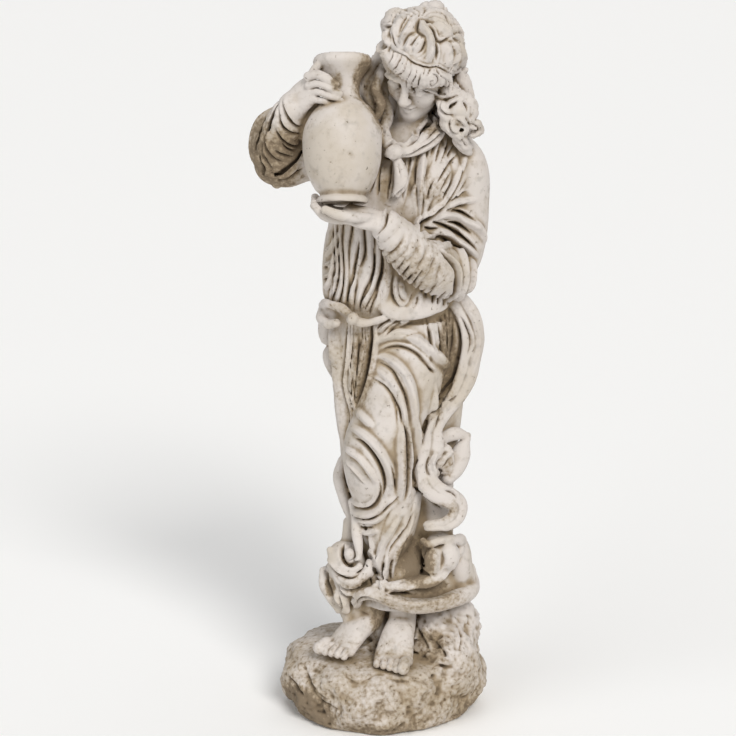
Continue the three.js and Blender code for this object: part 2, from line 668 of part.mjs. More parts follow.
// Thins a closed mesh to a number of faces by drawing its cheapest edges together, one at a time.
// An edge costs what it moves the surface, measured with the planes of the faces round it, and is
// passed over where drawing it in would pinch the surface or turn a face over.
class Thinner {
  constructor(positions, faces) {
    this.points = Array.from({ length: positions.length / 3 }, (_, i) => v3().fromArray(positions, 3 * i));
    this.faces = Array.from({ length: faces.length / 3 }, (_, i) => [...faces.slice(3 * i, 3 * i + 3)]);
    this.around = this.points.map(() => new Set());
    this.quadrics = this.points.map(() => new Float64Array(10));
    this.count = this.faces.length;
    this.faces.forEach((face, index) => this.enter(face, index));
  }

  normal(face) {
    const [a, b, c] = face.map((corner) => this.points[corner]);
    return b.clone().sub(a).cross(c.clone().sub(a));
  }

  enter(face, index) {
    const n = this.normal(face);
    const area = n.length();
    n.divideScalar(area || 1);
    const plane = [n.x, n.y, n.z, -n.dot(this.points[face[0]])];
    face.forEach((corner) => {
      this.around[corner].add(index);
      let term = 0;
      for (let i = 0; i < 4; i += 1) {
        for (let j = i; j < 4; j += 1) {
          this.quadrics[corner][term] += area * plane[i] * plane[j];
          term += 1;
        }
      }
    });
  }

  neighbours(corner) {
    const found = new Set([...this.around[corner]].flatMap((index) => this.faces[index]));
    found.delete(corner);
    return found;
  }

  cost(a, b, place) {
    const p = [place.x, place.y, place.z, 1];
    let sum = 0;
    let term = 0;
    for (let i = 0; i < 4; i += 1) {
      for (let j = i; j < 4; j += 1) {
        sum += (i === j ? 1 : 2) * (this.quadrics[a][term] + this.quadrics[b][term]) * p[i] * p[j];
        term += 1;
      }
    }
    return sum;
  }

  // The best place for an edge drawn to one point: an end or its middle.
  edge(a, b) {
    const [p, q] = [this.points[a], this.points[b]];
    const short = 1e-3 * p.distanceToSquared(q);
    const places = [p, q, p.clone().lerp(q, 0.5)];
    const options = places.map((place) => ({ place, cost: this.cost(a, b, place) + short }));
    const best = options.sort((one, other) => one.cost - other.cost)[0];
    return { a, b, ...best };
  }

  allowed({ a, b, place }) {
    const shared = [...this.neighbours(a)].filter((corner) => this.neighbours(b).has(corner));
    if (shared.length !== 2) return false;
    return [a, b].every((moved) =>
      [...this.around[moved]].every((index) => {
        const face = this.faces[index];
        if (face.includes(a) && face.includes(b)) return true;
        const before = this.normal(face);
        const [p, q, r] = face.map((corner) => (corner === moved ? place : this.points[corner]));
        const after = q.clone().sub(p).cross(r.clone().sub(p));
        const longest = Math.max(p.distanceToSquared(q), q.distanceToSquared(r), r.distanceToSquared(p));
        const flat = after.length() < 0.02 * longest;
        return !flat && before.dot(after) > 0.2 * before.length() * after.length();
      }),
    );
  }

  collapse({ a, b, place }) {
    this.points[a] = place.clone();
    this.quadrics[b].forEach((value, term) => {
      this.quadrics[a][term] += value;
    });
    [...this.around[b]].forEach((index) => {
      const face = this.faces[index];
      if (face.includes(a)) {
        face.forEach((corner) => this.around[corner].delete(index));
        this.faces[index] = null;
        this.count -= 1;
      } else {
        face[face.indexOf(b)] = a;
        this.around[a].add(index);
      }
    });
    this.around[b].clear();
  }

  // Sweeps with a rising allowance, so that the cheapest edges go first without a sorted queue.
  thinTo(target) {
    for (let allowance = 1e-4; this.count > target && allowance < 1e9; allowance *= 1.6) {
      for (let a = 0; a < this.points.length && this.count > target; a += 1) {
        for (const b of this.neighbours(a)) {
          if (b < a || this.count <= target) continue;
          const edge = this.edge(a, b);
          if (edge.cost > allowance || !this.allowed(edge)) continue;
          this.collapse(edge);
          break;
        }
      }
    }
    return this;
  }

  geometry() {
    const kept = this.faces.filter(Boolean);
    const points = kept.flat().map((corner) => this.points[corner]);
    return mergeVertices(new THREE.BufferGeometry().setFromPoints(points), 1e-3);
  }
}

const joined = forms.map(solid).reduce((whole, form) => whole.add(form)).subtract(solid(jugMouth));
// Pockets that the forms close off between them are filled in the cast, so only the outer body stays.
const [outer] = joined.decompose().sort((one, other) => other.volume() - one.volume());
const cast = outer.getMesh();
const castGeometry = new Thinner(cast.vertProperties, cast.triVerts).thinTo(faceCount).geometry();
castGeometry.computeVertexNormals();

const statue = new THREE.Mesh(castGeometry, stone);
statue.name = "statue";

const group = new THREE.Group();
group.add(statue);

export default group;
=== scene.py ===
# The water carrier, a cast stone garden statue. She is carved here as one block of clay and then
# cast as one mesh. The clay is a grid of distances to her surface, in millimetres in the part's own
# frame: +Z is up, she faces -Y, and +X is her left. Forms are laid on and cut away with soft joins.
# At the end the hollows of the clay are measured, and they steer the brown wash on the stone.
import math
import time

import bmesh
import bpy
import numpy as np
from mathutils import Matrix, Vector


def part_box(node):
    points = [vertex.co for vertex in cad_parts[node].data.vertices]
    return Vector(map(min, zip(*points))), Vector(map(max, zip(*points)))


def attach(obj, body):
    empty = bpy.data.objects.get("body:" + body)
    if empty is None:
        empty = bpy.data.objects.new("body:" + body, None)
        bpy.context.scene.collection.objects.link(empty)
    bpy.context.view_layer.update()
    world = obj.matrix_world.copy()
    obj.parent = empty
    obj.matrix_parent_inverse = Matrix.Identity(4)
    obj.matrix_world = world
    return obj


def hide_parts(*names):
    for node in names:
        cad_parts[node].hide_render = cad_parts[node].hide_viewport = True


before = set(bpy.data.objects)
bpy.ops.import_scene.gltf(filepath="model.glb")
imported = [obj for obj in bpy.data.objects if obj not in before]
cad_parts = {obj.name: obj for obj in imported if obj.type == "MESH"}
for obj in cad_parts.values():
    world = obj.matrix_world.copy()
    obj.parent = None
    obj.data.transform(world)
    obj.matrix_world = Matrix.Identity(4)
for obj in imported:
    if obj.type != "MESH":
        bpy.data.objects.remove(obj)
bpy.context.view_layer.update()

import openvdb
from mathutils import Euler, Matrix, Vector
from mathutils.kdtree import KDTree

started = time.time()
_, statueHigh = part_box("statue")
modelTall = 839.1  # what every number below was chosen for, in mm
scale = statueHigh.z / modelTall  # metres for each of those millimetres

block = {
    "voxel": 1.25,  # the finest thing that can be carved
    "low": (-158, -122, -6),
    "high": (131, 117, 849),
    "reach": 14.0,  # distances are only kept this near to the surface
    "band": 4,  # and only this near when the mesh is drawn
    "step": 1.6,  # between two points of a limb or a stroke
    "thinnest": 0.4,  # half of the thickness that a limb keeps
    "margin": 3,  # of clay that is worked round a form, past its fillet
    "sharpen": [(10, 0.5), (5, 0.5)],  # how wide the folds are that are made crisper, and how much
    "triangles": 188000,
}
axes = [np.arange(lo, hi, block["voxel"], dtype=np.float32) for lo, hi in zip(block["low"], block["high"])]
clay = np.full([len(axis) for axis in axes], block["reach"], np.float32)
raised, sunken = np.zeros_like(clay), np.zeros_like(clay)  # how far, by the strokes of one piece


def stage(words):
    print(f"[{time.time() - started:5.1f} s] {words}")


# How the clay is worked, beginning with its measures
def window(low, high):  # the part of the grid in a box, and its coordinates
    spans = []
    for axis, lo, hi in zip(axes, low, high):
        first, last = np.searchsorted(axis, (lo, hi))
        spans.append(slice(max(int(first) - 1, 0), min(int(last) + 1, len(axis))))
    x, y, z = (axis[span] for axis, span in zip(axes, spans))
    return tuple(spans), x[:, None, None], y[None, :, None], z[None, None, :]


def layOn(spans, shape, soft):  # joins a shape to the clay, with a fillet of that softness
    here = clay[spans]
    near = np.maximum(soft - np.abs(here - shape), 0)
    np.minimum(here, shape, out=here)
    here -= near * near / (4 * soft)


def cutAway(spans, shape, soft):  # cuts it out of the clay, with the edge as soft
    here = clay[spans]
    near = np.maximum(soft - np.abs(here + shape), 0)
    np.maximum(here, -shape, out=here)
    here += near * near / (4 * soft)


def ease(low, high, x):  # 0 below low, 1 above high, smooth between
    t = np.clip((x - low) / (high - low), 0, 1)
    return t * t * (3 - 2 * t)


def smoothRows(rows, at):  # a smooth curve through rows whose first number is the place along it
    rows = np.array(rows, float)
    places, values = rows[:, 0], rows[:, 1:]
    slopes = np.gradient(values, places, axis=0)
    at = np.clip(at, places[0], places[-1])
    i = np.clip(np.searchsorted(places, at) - 1, 0, len(places) - 2)
    h = (places[i + 1] - places[i])[:, None]
    u = (at - places[i])[:, None] / h
    start = (1 + 2 * u) * (1 - u) ** 2 * values[i] + u * (1 - u) ** 2 * h * slopes[i]
    end = u * u * (3 - 2 * u) * values[i + 1] + u * u * (u - 1) * h * slopes[i + 1]
    return start + end


def smoothPath(points):  # evenly spaced points on a smooth curve through these, and how far along each is
    points = np.array([tuple(p) for p in points], float)
    along = np.concatenate([[0], np.cumsum(np.sqrt(np.linalg.norm(np.diff(points, axis=0), axis=1)))])
    dense = smoothRows(np.column_stack([along, points]), np.linspace(0, along[-1], 40 * len(points)))
    run = np.concatenate([[0], np.cumsum(np.linalg.norm(np.diff(dense, axis=0), axis=1))])
    count = max(int(run[-1] / block["step"]), 2) + 1
    places = np.linspace(0, run[-1], count)
    return np.column_stack([np.interp(places, run, dense[:, k]) for k in range(3)]), places


def unit(vectors):
    return vectors / np.maximum(np.linalg.norm(vectors, axis=-1, keepdims=True), 1e-9)


def column(levels, relief=None, soft=4.0, edge=2.0):
    # A standing form through levels of [z, x, y, half width, half depth]; relief(turn, z) stands proud
    rows = np.array(levels, float)
    reach = rows[:, 3:].max(0) + 14
    low = (rows[:, 1].min() - reach[0], rows[:, 2].min() - reach[1], rows[0, 0] - 6)
    high = (rows[:, 1].max() + reach[0], rows[:, 2].max() + reach[1], rows[-1, 0] + 6)
    spans, x, y, z = window(low, high)
    middleX, middleY, halfWidth, halfDepth = smoothRows(rows, z.ravel()).T.astype(np.float32)
    dx, dy = x - middleX, y - middleY
    share = np.sqrt((dx / halfWidth) ** 2 + (dy / halfDepth) ** 2) + 1e-4
    shape = np.sqrt(dx * dx + dy * dy) * (1 - 1 / share)
    if relief:
        shape -= relief(np.arctan2(dy, dx), z)
    for past in (rows[0, 0] - z, z - rows[-1, 0]):
        near = np.maximum(edge - np.abs(shape - past), 0)
        shape = np.maximum(shape, past) + near * near / (4 * edge)
    layOn(spans, shape.astype(np.float32), soft)


def egg(centre, radii, turn=(0, 0, 0), soft=4.0, within=None, cut=False):
    # An egg of three radii, turned in degrees about X, Y and Z, in a frame of its own if given
    within = within or Matrix()
    spin = np.array(within.to_3x3() @ Euler([math.radians(a) for a in turn]).to_matrix(), np.float32)
    middle = np.array(within @ Vector(centre), np.float32)
    reach = max(radii) + soft + block["margin"]
    spans, x, y, z = window(middle - reach, middle + reach)
    dx, dy, dz = x - middle[0], y - middle[1], z - middle[2]
    share = 1e-4
    for k in range(3):
        share = share + ((dx * spin[0, k] + dy * spin[1, k] + dz * spin[2, k]) / radii[k]) ** 2
    share = np.sqrt(share)
    shape = np.sqrt(dx * dx + dy * dy + dz * dz) * (1 - 1 / share)
    shape = np.maximum(shape, (share - 1) * min(radii))
    (cutAway if cut else layOn)(spans, shape, soft)


def limb(path, sizes, facing=(0, -1, 0), soft=3.0, relief=None, within=None, cut=False):
    # A form along a curve. A size is a radius, or (across, through) where it is flatter the way it
    # faces. relief(run, turn) stands proud: run is 0 to 1 along it, turn the angle round it
    if within:
        path = [within @ Vector(p) for p in path]
        facing = within.to_3x3() @ Vector(facing)
    points, places = smoothPath(path)
    pairs = [size if isinstance(size, tuple) else (size, size) for size in sizes]
    rows = [[i / max(len(pairs) - 1, 1), *pair] for i, pair in enumerate(pairs)]
    across, through = smoothRows(rows, places / places[-1]).T
    across, through = np.maximum(across, block["thinnest"]), np.maximum(through, block["thinnest"])
    layForm(points, across, through, facing, soft, relief, cut)


def layForm(points, halfAcross, halfThrough, facing, soft, relief, cut):
    along = unit(np.gradient(points, axis=0))
    facing = np.broadcast_to(np.array(facing, float), points.shape)
    throughWay = unit(facing - along * (facing * along).sum(1)[:, None])
    acrossWay = np.cross(throughWay, along)
    widest = np.maximum(halfAcross, halfThrough) + soft + block["margin"]
    spans, x, y, z = window((points - widest[:, None]).min(0), (points + widest[:, None]).max(0))
    x, y, z = x.ravel(), y.ravel(), z.ravel()
    nearest = np.full((len(x), len(y), len(z)), 1e6, np.float32)
    shape = np.full_like(nearest, block["reach"])
    run, turn = (np.zeros_like(nearest), np.zeros_like(nearest)) if relief else (None, None)
    for i, point in enumerate(points):
        spots = [np.searchsorted(axis, (c - widest[i], c + widest[i])) for axis, c in zip((x, y, z), point)]
        sub = tuple(slice(first, last) for first, last in spots)
        dx = (x[sub[0]] - point[0])[:, None, None]
        dy = (y[sub[1]] - point[1])[None, :, None]
        dz = (z[sub[2]] - point[2])[None, None, :]
        away = dx * dx + dy * dy + dz * dz
        closer = away < nearest[sub]
        a, b, c = (dx * w[0] + dy * w[1] + dz * w[2] for w in (acrossWay[i], throughWay[i], along[i]))
        least = min(halfAcross[i], halfThrough[i])
        share = np.sqrt((a / halfAcross[i]) ** 2 + (b / halfThrough[i]) ** 2 + (c / least) ** 2) + 1e-4
        distance = np.sqrt(away) * (1 - 1 / share)
        distance = np.maximum(distance, (share - 1) * least)
        nearest[sub] = np.where(closer, away, nearest[sub])
        shape[sub] = np.where(closer, distance, shape[sub])
        if relief:
            run[sub] = np.where(closer, i / (len(points) - 1), run[sub])
            turn[sub] = np.where(closer, np.arctan2(b, a), turn[sub])
    if relief:
        shape -= relief(run, turn).astype(np.float32)
    (cutAway if cut else layOn)(spans, shape, soft)


def readField(field, cell, points):  # a grid's value at points, between its own
    spot = [(points[:, k] - axes[k][0]) / cell for k in range(3)]
    base = [np.clip(s.astype(int), 0, field.shape[k] - 2) for k, s in enumerate(spot)]
    part = [s - b for s, b in zip(spot, base)]
    total = np.zeros(len(points))
    for corner in np.ndindex(2, 2, 2):
        share = np.prod([p if c else 1 - p for p, c in zip(part, corner)], axis=0)
        total += share * field[tuple(b + c for b, c in zip(base, corner))]
    return total


def readClay(points):
    return readField(clay, block["voxel"], points)


def slopeOf(points, width=2.0):  # the way the surface faces at points
    steps = np.eye(3) * width
    return unit(np.column_stack([readClay(points + s) - readClay(points - s) for s in steps]))


def settle(points, rounds=4):  # moves points on to the surface
    for _ in range(rounds):
        points = points - slopeOf(points) * np.clip(readClay(points), -6, 6)[:, None]
    return points


def onFront(places):
    # The points that a line from the front meets first at each (x, z). A place just outside the
    # outline is drawn in to it
    found = []
    for across, z in places:
        level = int(np.clip((z - axes[2][0]) / block["voxel"], 0, len(axes[2]) - 1))
        solid = clay[:, :, level] < 0
        rows = np.flatnonzero(solid.any(1))
        row = rows[np.argmin(np.abs(axes[0][rows] - across))]
        first = np.flatnonzero(solid[row])[0]
        found.append((axes[0][row], axes[1][first], z))
    return found


def taper(run, ends):  # full in the middle, drawn out over that share at each end
    return np.sqrt(ease(0, ends[0], run) * ease(0, ends[1], 1 - run) + 1e-6)


def layPath(path):
    # A path drawn on to the surface, (x, z) places from the front: its points, how far along it each
    # is from 0 to 1, the way out of the surface there, and the way across the path and up
    if len(path[0]) == 2:
        path = onFront(path)
    points, places = smoothPath(path)
    points = settle(points)
    for _ in range(3):
        points[1:-1] = (points[:-2] + 2 * points[1:-1] + points[2:]) / 4
    outward = slopeOf(points, 4)
    across = unit(np.cross(np.gradient(points, axis=0), outward))
    upper = across[:, 2].sum() + 0.4 * across[:, 0].sum()
    return points, places / places[-1], outward, across * (1 if upper > 0 else -1)


def mark(field, point, outward, reach, rise):
    # Lifts a field near a point to rise(distance from it, way from it), wherever it isn't that high yet
    sub, x, y, z = window(point - reach, point + reach)
    dx, dy, dz = x - point[0], y - point[1], z - point[2]
    out = dx * outward[0] + dy * outward[1] + dz * outward[2]
    far = np.sqrt(np.maximum(dx * dx + dy * dy + dz * dz - out * out, 0))
    shape = rise(far, (dx, dy, dz)) * (1 - ease(8, 14, np.abs(out)))
    np.maximum(field[sub], shape.astype(np.float32), out=field[sub])


def applyRelief():  # works the strokes into the clay
    for field, sign in ((raised, -1), (sunken, 1)):
        np.multiply(field, sign, out=field)
        np.add(clay, field, out=clay)
        field.fill(0)


def runningMean(field, half):  # over that many cells on each side, taken twice
    for axis in range(3):
        for _ in range(2):
            padding = [(0, 0)] * 3
            padding[axis] = (half + 1, half)
            total = np.cumsum(np.pad(field, padding, mode="edge"), axis=axis, dtype=np.float32)
            count = field.shape[axis]
            high = total.take(range(2 * half + 1, 2 * half + 1 + count), axis)
            field = (high - total.take(range(count), axis)) / (2 * half + 1)
    return field


def sharpen(width, amount):  # lifts every ridge and deepens every valley narrower than that width
    bounded = np.clip(clay, -width, width)
    mean = runningMean(bounded, max(int(round(width / block["voxel"] / 2)), 1))
    bounded -= mean
    bounded *= amount
    np.add(clay, bounded, out=clay)


stroke = {
    "foldHalf": 0.62,  # of a fold's width
    "foldPower": 1.6,
    "foldEnds": (0.3, 0.3),  # the share of a stroke over which each end fades
    "creaseEnds": (0.4, 0.4),
    "gapEnds": (0.15, 0.15),
    "slope": 2.4,  # how many times wider a crease is below its valley than above it
    "valleyPower": 1.4,
    "crest": 0.3,  # how high it stands, for each millimetre of the valley's depth
    "crestAt": 1.5,  # where its top is, and half of its width, in half widths of the valley
    "crestHalf": 1.4,
}


def fold(path, width, height):  # a ridge of cloth with a rounded crest
    points, run, outward, _ = layPath(path)
    strength = taper(run, stroke["foldEnds"])
    for point, way, full in zip(points, outward, strength):
        half = stroke["foldHalf"] * width * (0.5 + 0.5 * full)

        def ridge(far, _):
            near = np.clip(1 - far / half, 0, 1)
            return height * full * np.sin(0.5 * math.pi * near) ** stroke["foldPower"]

        mark(raised, point, way, half + 1, ridge)


def crease(path, width, depth, ends=stroke["creaseEnds"]):
    # Where one fold slips under the next: a crest on the upper side, a sharp valley, a long slope below
    points, run, outward, across = layPath(path)
    strength = taper(run, ends)
    slope, crestAt, crestHalf = stroke["slope"], stroke["crestAt"], stroke["crestHalf"]
    for point, way, upward, full in zip(points, outward, across, strength):
        half = (0.5 * width + 0.4) * (0.5 + 0.5 * full)

        def isAbove(away):
            return away[0] * upward[0] + away[1] * upward[1] + away[2] * upward[2] > 0

        def valley(far, away):
            near = np.clip(1 - far / np.where(isAbove(away), half, slope * half), 0, 1)
            return depth * full * near ** stroke["valleyPower"]

        def crest(far, away):
            near = np.clip(1 - np.abs(far - crestAt * half) / (crestHalf * half), 0, 1)
            return stroke["crest"] * depth * full * near * isAbove(away)

        mark(sunken, point, way, slope * half + 1, valley)
        mark(raised, point, way, 3 * half + 1, crest)


def carveStrokes(piece):  # each stroke has a width, a height or depth, and a path
    for width, height, path in piece.get("folds", []):
        fold(path, width, height)
    for width, depth, path in piece.get("creases", []):
        crease(path, width, depth)
    for width, depth, path in piece.get("gaps", []):  # where one form lies over another
        crease(path, width, depth, stroke["gapEnds"])
    applyRelief()


def carveFlutes(piece):
    # Gathers hanging between two guides on the front: (x, z) places, how many, and how high
    for count, height, left, right in piece["flutes"]:
        top = min(left[0][1], right[0][1])
        bottom = max(left[-1][1], right[-1][1])
        xs = [x for x, _ in left + right]
        spans, x, y, z = window((min(xs) - 8, block["low"][1], bottom - 14), (max(xs) + 8, -4, top + 14))
        first, last = (
            smoothRows([(pz, px) for px, pz in guide[::-1]], z.ravel()).ravel() for guide in (left, right)
        )
        share = (x - first) / (last - first)
        drift = 0.3 * np.sin(z / 31 + 5 * share) + 0.2 * np.sin(z / 13 + 9 * share)
        phase = math.pi * (count * share + drift + 0.5 * np.sin(6 * share))
        half = 0.5 / count
        edges = ease(-half, half, share) * (1 - ease(1 - half, 1 + half, share))
        ends = ease(bottom - 12, bottom + 6, z) * (1 - ease(top - 6, top + 12, z))
        vary = 1 + 0.35 * np.sin(z / 21 + 11 * share)
        amount = height * pillow(phase) * edges * ends * vary * ease(4, 24, -y)
        clay[spans] -= amount.astype(np.float32)


def pillow(phase):  # round backs parted by sharp valleys, from -0.6 to 0.4
    return np.abs(np.sin(phase)) ** 0.5 - 0.6


def cloud(spans, size, seed):  # smooth noise from -1 to 1 over a part of the grid
    dice = np.random.default_rng(seed)
    spots = [axes[k][spans[k]] / size for k in range(3)]
    firsts = [np.floor(s).astype(int) for s in spots]
    values = dice.uniform(-1, 1, [f[-1] - f[0] + 2 for f in firsts]).astype(np.float32)
    for k in range(3):
        part = (spots[k] - firsts[k]).astype(np.float32)
        part = part * part * (3 - 2 * part)
        part = part.reshape([-1 if j == k else 1 for j in range(3)])
        index = firsts[k] - firsts[k][0]
        values = np.take(values, index, axis=k) * (1 - part) + np.take(values, index + 1, axis=k) * part
    return values


# The rock: a squat boulder that rises behind her heels and under the hem
rock = {
    "levels": [
        [0, -2, -2, 108, 97],
        [20, -2, -1, 119, 102],
        [42, -2, -1, 120, 102],
        [62, -2, 0, 111, 97],
        [74, -1, 0, 91, 79],
        [81, 0, 0, 52, 45],
    ],
    "mounds": [
        [(72, 18, 84), (42, 44, 52), (8, -6, 20)],
        [(24, 30, 88), (48, 36, 62), (0, 0, 0)],
        [(54, -18, 84), (24, 26, 34), (0, 20, 0)],
        [(74, -24, 62), (40, 44, 44), (0, 0, 0)],
    ],
    "ledges": {
        "width": 6,
        "depth": 4,
        "paths": [
            [(-60, -62, 84), (-48, -78, 76), (-30, -92, 62), (-8, -84, 70), (14, -92, 68), (40, -90, 68)],
            [(-92, -46, 66), (-86, -62, 54), (-72, -74, 44), (-58, -84, 38)],
            [(-104, -30, 52), (-98, -46, 42), (-88, -62, 34)],
        ],
    },
    "cracks": {
        "width": 4,
        "depth": 2.4,
        "paths": [
            [(40, 108), (50, 96), (56, 86)],
            [(60, 100), (72, 88), (78, 78)],
            [(52, 68), (62, 74), (72, 74)],
            [(86, 108), (91, 98), (88, 88)],
            [(-86, 56), (-80, 44), (-70, 36), (-52, 32)],
        ],
    },
    "roughness": {
        "low": (-140, -122, 0),
        "high": (131, 117, 150),
        "layers": [(34, 3.0), (15, 1.8), (7, 1.3), (4, 0.8)],  # the size and height of each, in mm
        "seed": 20,
    },
}


def carveRock():
    def crag(turn, z):
        rise = 4 * np.sin(3 * turn + 0.6) + 2.5 * np.sin(7 * turn + z / 18) + 2 * np.sin(11 * turn - z / 11)
        return rise * ease(-30, 30, z) * (1 - ease(60, 84, z))

    column(rock["levels"], crag, edge=10)
    for centre, radii, turn in rock["mounds"]:
        egg(centre, radii, turn, soft=14)
    for breaks in (rock["ledges"], rock["cracks"]):
        for path in breaks["paths"]:
            crease(path, breaks["width"], breaks["depth"])
        applyRelief()
    roughen(**rock["roughness"])
    flattenUnderside()


def flattenUnderside():
    spans, _, _, z = window(block["low"], (*block["high"][:2], -block["low"][2]))
    clay[spans] = np.maximum(clay[spans], -z)


def roughen(low, high, layers, seed):
    spans, _, _, z = window(low, high)
    rough = sum(height * cloud(spans, size, seed + i) for i, (size, height) in enumerate(layers))
    clay[spans] += rough * ease(0, 8, z)


# The feet, bare and turned out
feet = [
    {"ankle": (22, -30, 118), "heel": (24, -8, 94), "ball": (11, -72, 82), "side": 1},
    {"ankle": (-14, -24, 120), "heel": (-4, -8, 96), "ball": (-50, -50, 90), "side": -1},
]
footShape = {
    "shinRise": 34,
    "instepRise": 3,
    "facingUp": 0.9,  # and 1 along the foot, which is the way its flat upper side looks
    "sizes": [(15, 15), (16, 16), (19, 13), (22, 8)],  # of the shin, the ankle, the instep and the ball
    "heelRadii": (14, 17, 16),
    "toes": 5,
    "bigToe": 6.9,
    "toeRadius": 5.2,
    "toeSmaller": 0.3,  # for each toe further out
    "toeOut": 15.5,  # from the middle of the ball to the big toe
    "toeApart": 8,
    "toeBack": 2,
    "toeLong": 21,
    "toeShorter": 2.4,
    "toeLow": 7,
    "knuckleAt": 0.55,
    "knuckleRise": 2.6,
    "toeTaper": (1, 0.95, 0.9),
}


def carveFoot(ankle, heel, ball, side):
    ankle, heel, ball, up = Vector(ankle), Vector(heel), Vector(ball), Vector((0, 0, 1))
    along = Vector((ball.x - heel.x, ball.y - heel.y, 0)).normalized()
    across = Vector((-along.y, along.x, 0)) * side
    instep = ankle.lerp(ball, 0.5) + up * footShape["instepRise"]
    facing = along + up * footShape["facingUp"]
    limb([ankle + up * footShape["shinRise"], ankle, instep, ball], footShape["sizes"], facing)
    egg(heel, footShape["heelRadii"], soft=8)
    for toe in range(footShape["toes"]):
        radius = footShape["toeRadius"] - footShape["toeSmaller"] * toe if toe else footShape["bigToe"]
        out = footShape["toeOut"] - footShape["toeApart"] * toe
        reach = footShape["toeLong"] - footShape["toeShorter"] * toe
        root = ball + across * out - along * footShape["toeBack"]
        tip = root + along * reach + up * (radius - footShape["toeLow"])
        knuckle = root.lerp(tip, footShape["knuckleAt"]) + up * footShape["knuckleRise"]
        limb([root, knuckle, tip], [radius * share for share in footShape["toeTaper"]], soft=1.6)


# The skirt: fluted behind, a broad smooth column over the standing leg, narrow flutes beside it
skirt = {
    "levels": [
        [138, 34, -4, 68, 54],
        [166, 32, -3, 66, 52],
        [186, 27, -1, 56, 46],
        [208, 18, 1, 45, 39],
        [245, 10, -1, 46, 40],
        [282, 4, -2, 48, 43],
        [318, 3, -2, 49, 46],
        [378, 6, 2, 59, 52],
        [425, 10, 4, 67, 54],
        [456, 8, 2, 68, 49],
        [492, 9, -3, 63, 40],
    ],
    "backFlutes": 6.5,
    "backDepth": 9.0,
    "flutes": [
        [4, 4, [(-38, 486), (-39, 434), (-40, 406), (-36, 370)],
         [(-15, 486), (-20, 445), (-26, 415), (-33, 374)]],
        [3, 3.0, [(-42, 360), (-38, 340)], [(-30, 360), (-33, 340)]],
    ],
    "folds": [
        [24, 6, [(-55, 484), (-54, 440), (-51, 395), (-46, 350), (-40, 300)]],
    ],
    "creases": [
        [3, 6, [(-41, 481), (-42, 459), (-43, 434), (-45, 406), (-41, 381), (-36, 355)]],
        [6, 9, [(-13, 483), (-13, 463), (-15, 445), (-19, 423), (-26, 397), (-32, 378)]],
        [3, 5, [(-52, 420), (-52, 385), (-47, 345), (-44, 320)]],
    ],
}


def carveSkirt():
    def flutes(turn, z):
        wander = 0.16 * np.sin(z / 70) + 0.07 * np.sin(z / 27 + 3 * turn)
        phase = skirt["backFlutes"] * (turn + wander) + 1.1 * np.sin(2 * turn)
        behind = ease(-0.3, 0.45, np.sin(turn) + 0.2)
        wave = pillow(phase) + 0.45 * pillow(2.3 * phase + z / 50)
        return skirt["backDepth"] * behind * wave * (1 - 0.45 * ease(430, 492, z))

    column(skirt["levels"], flutes)
    carveFlutes(skirt)
    carveStrokes(skirt)


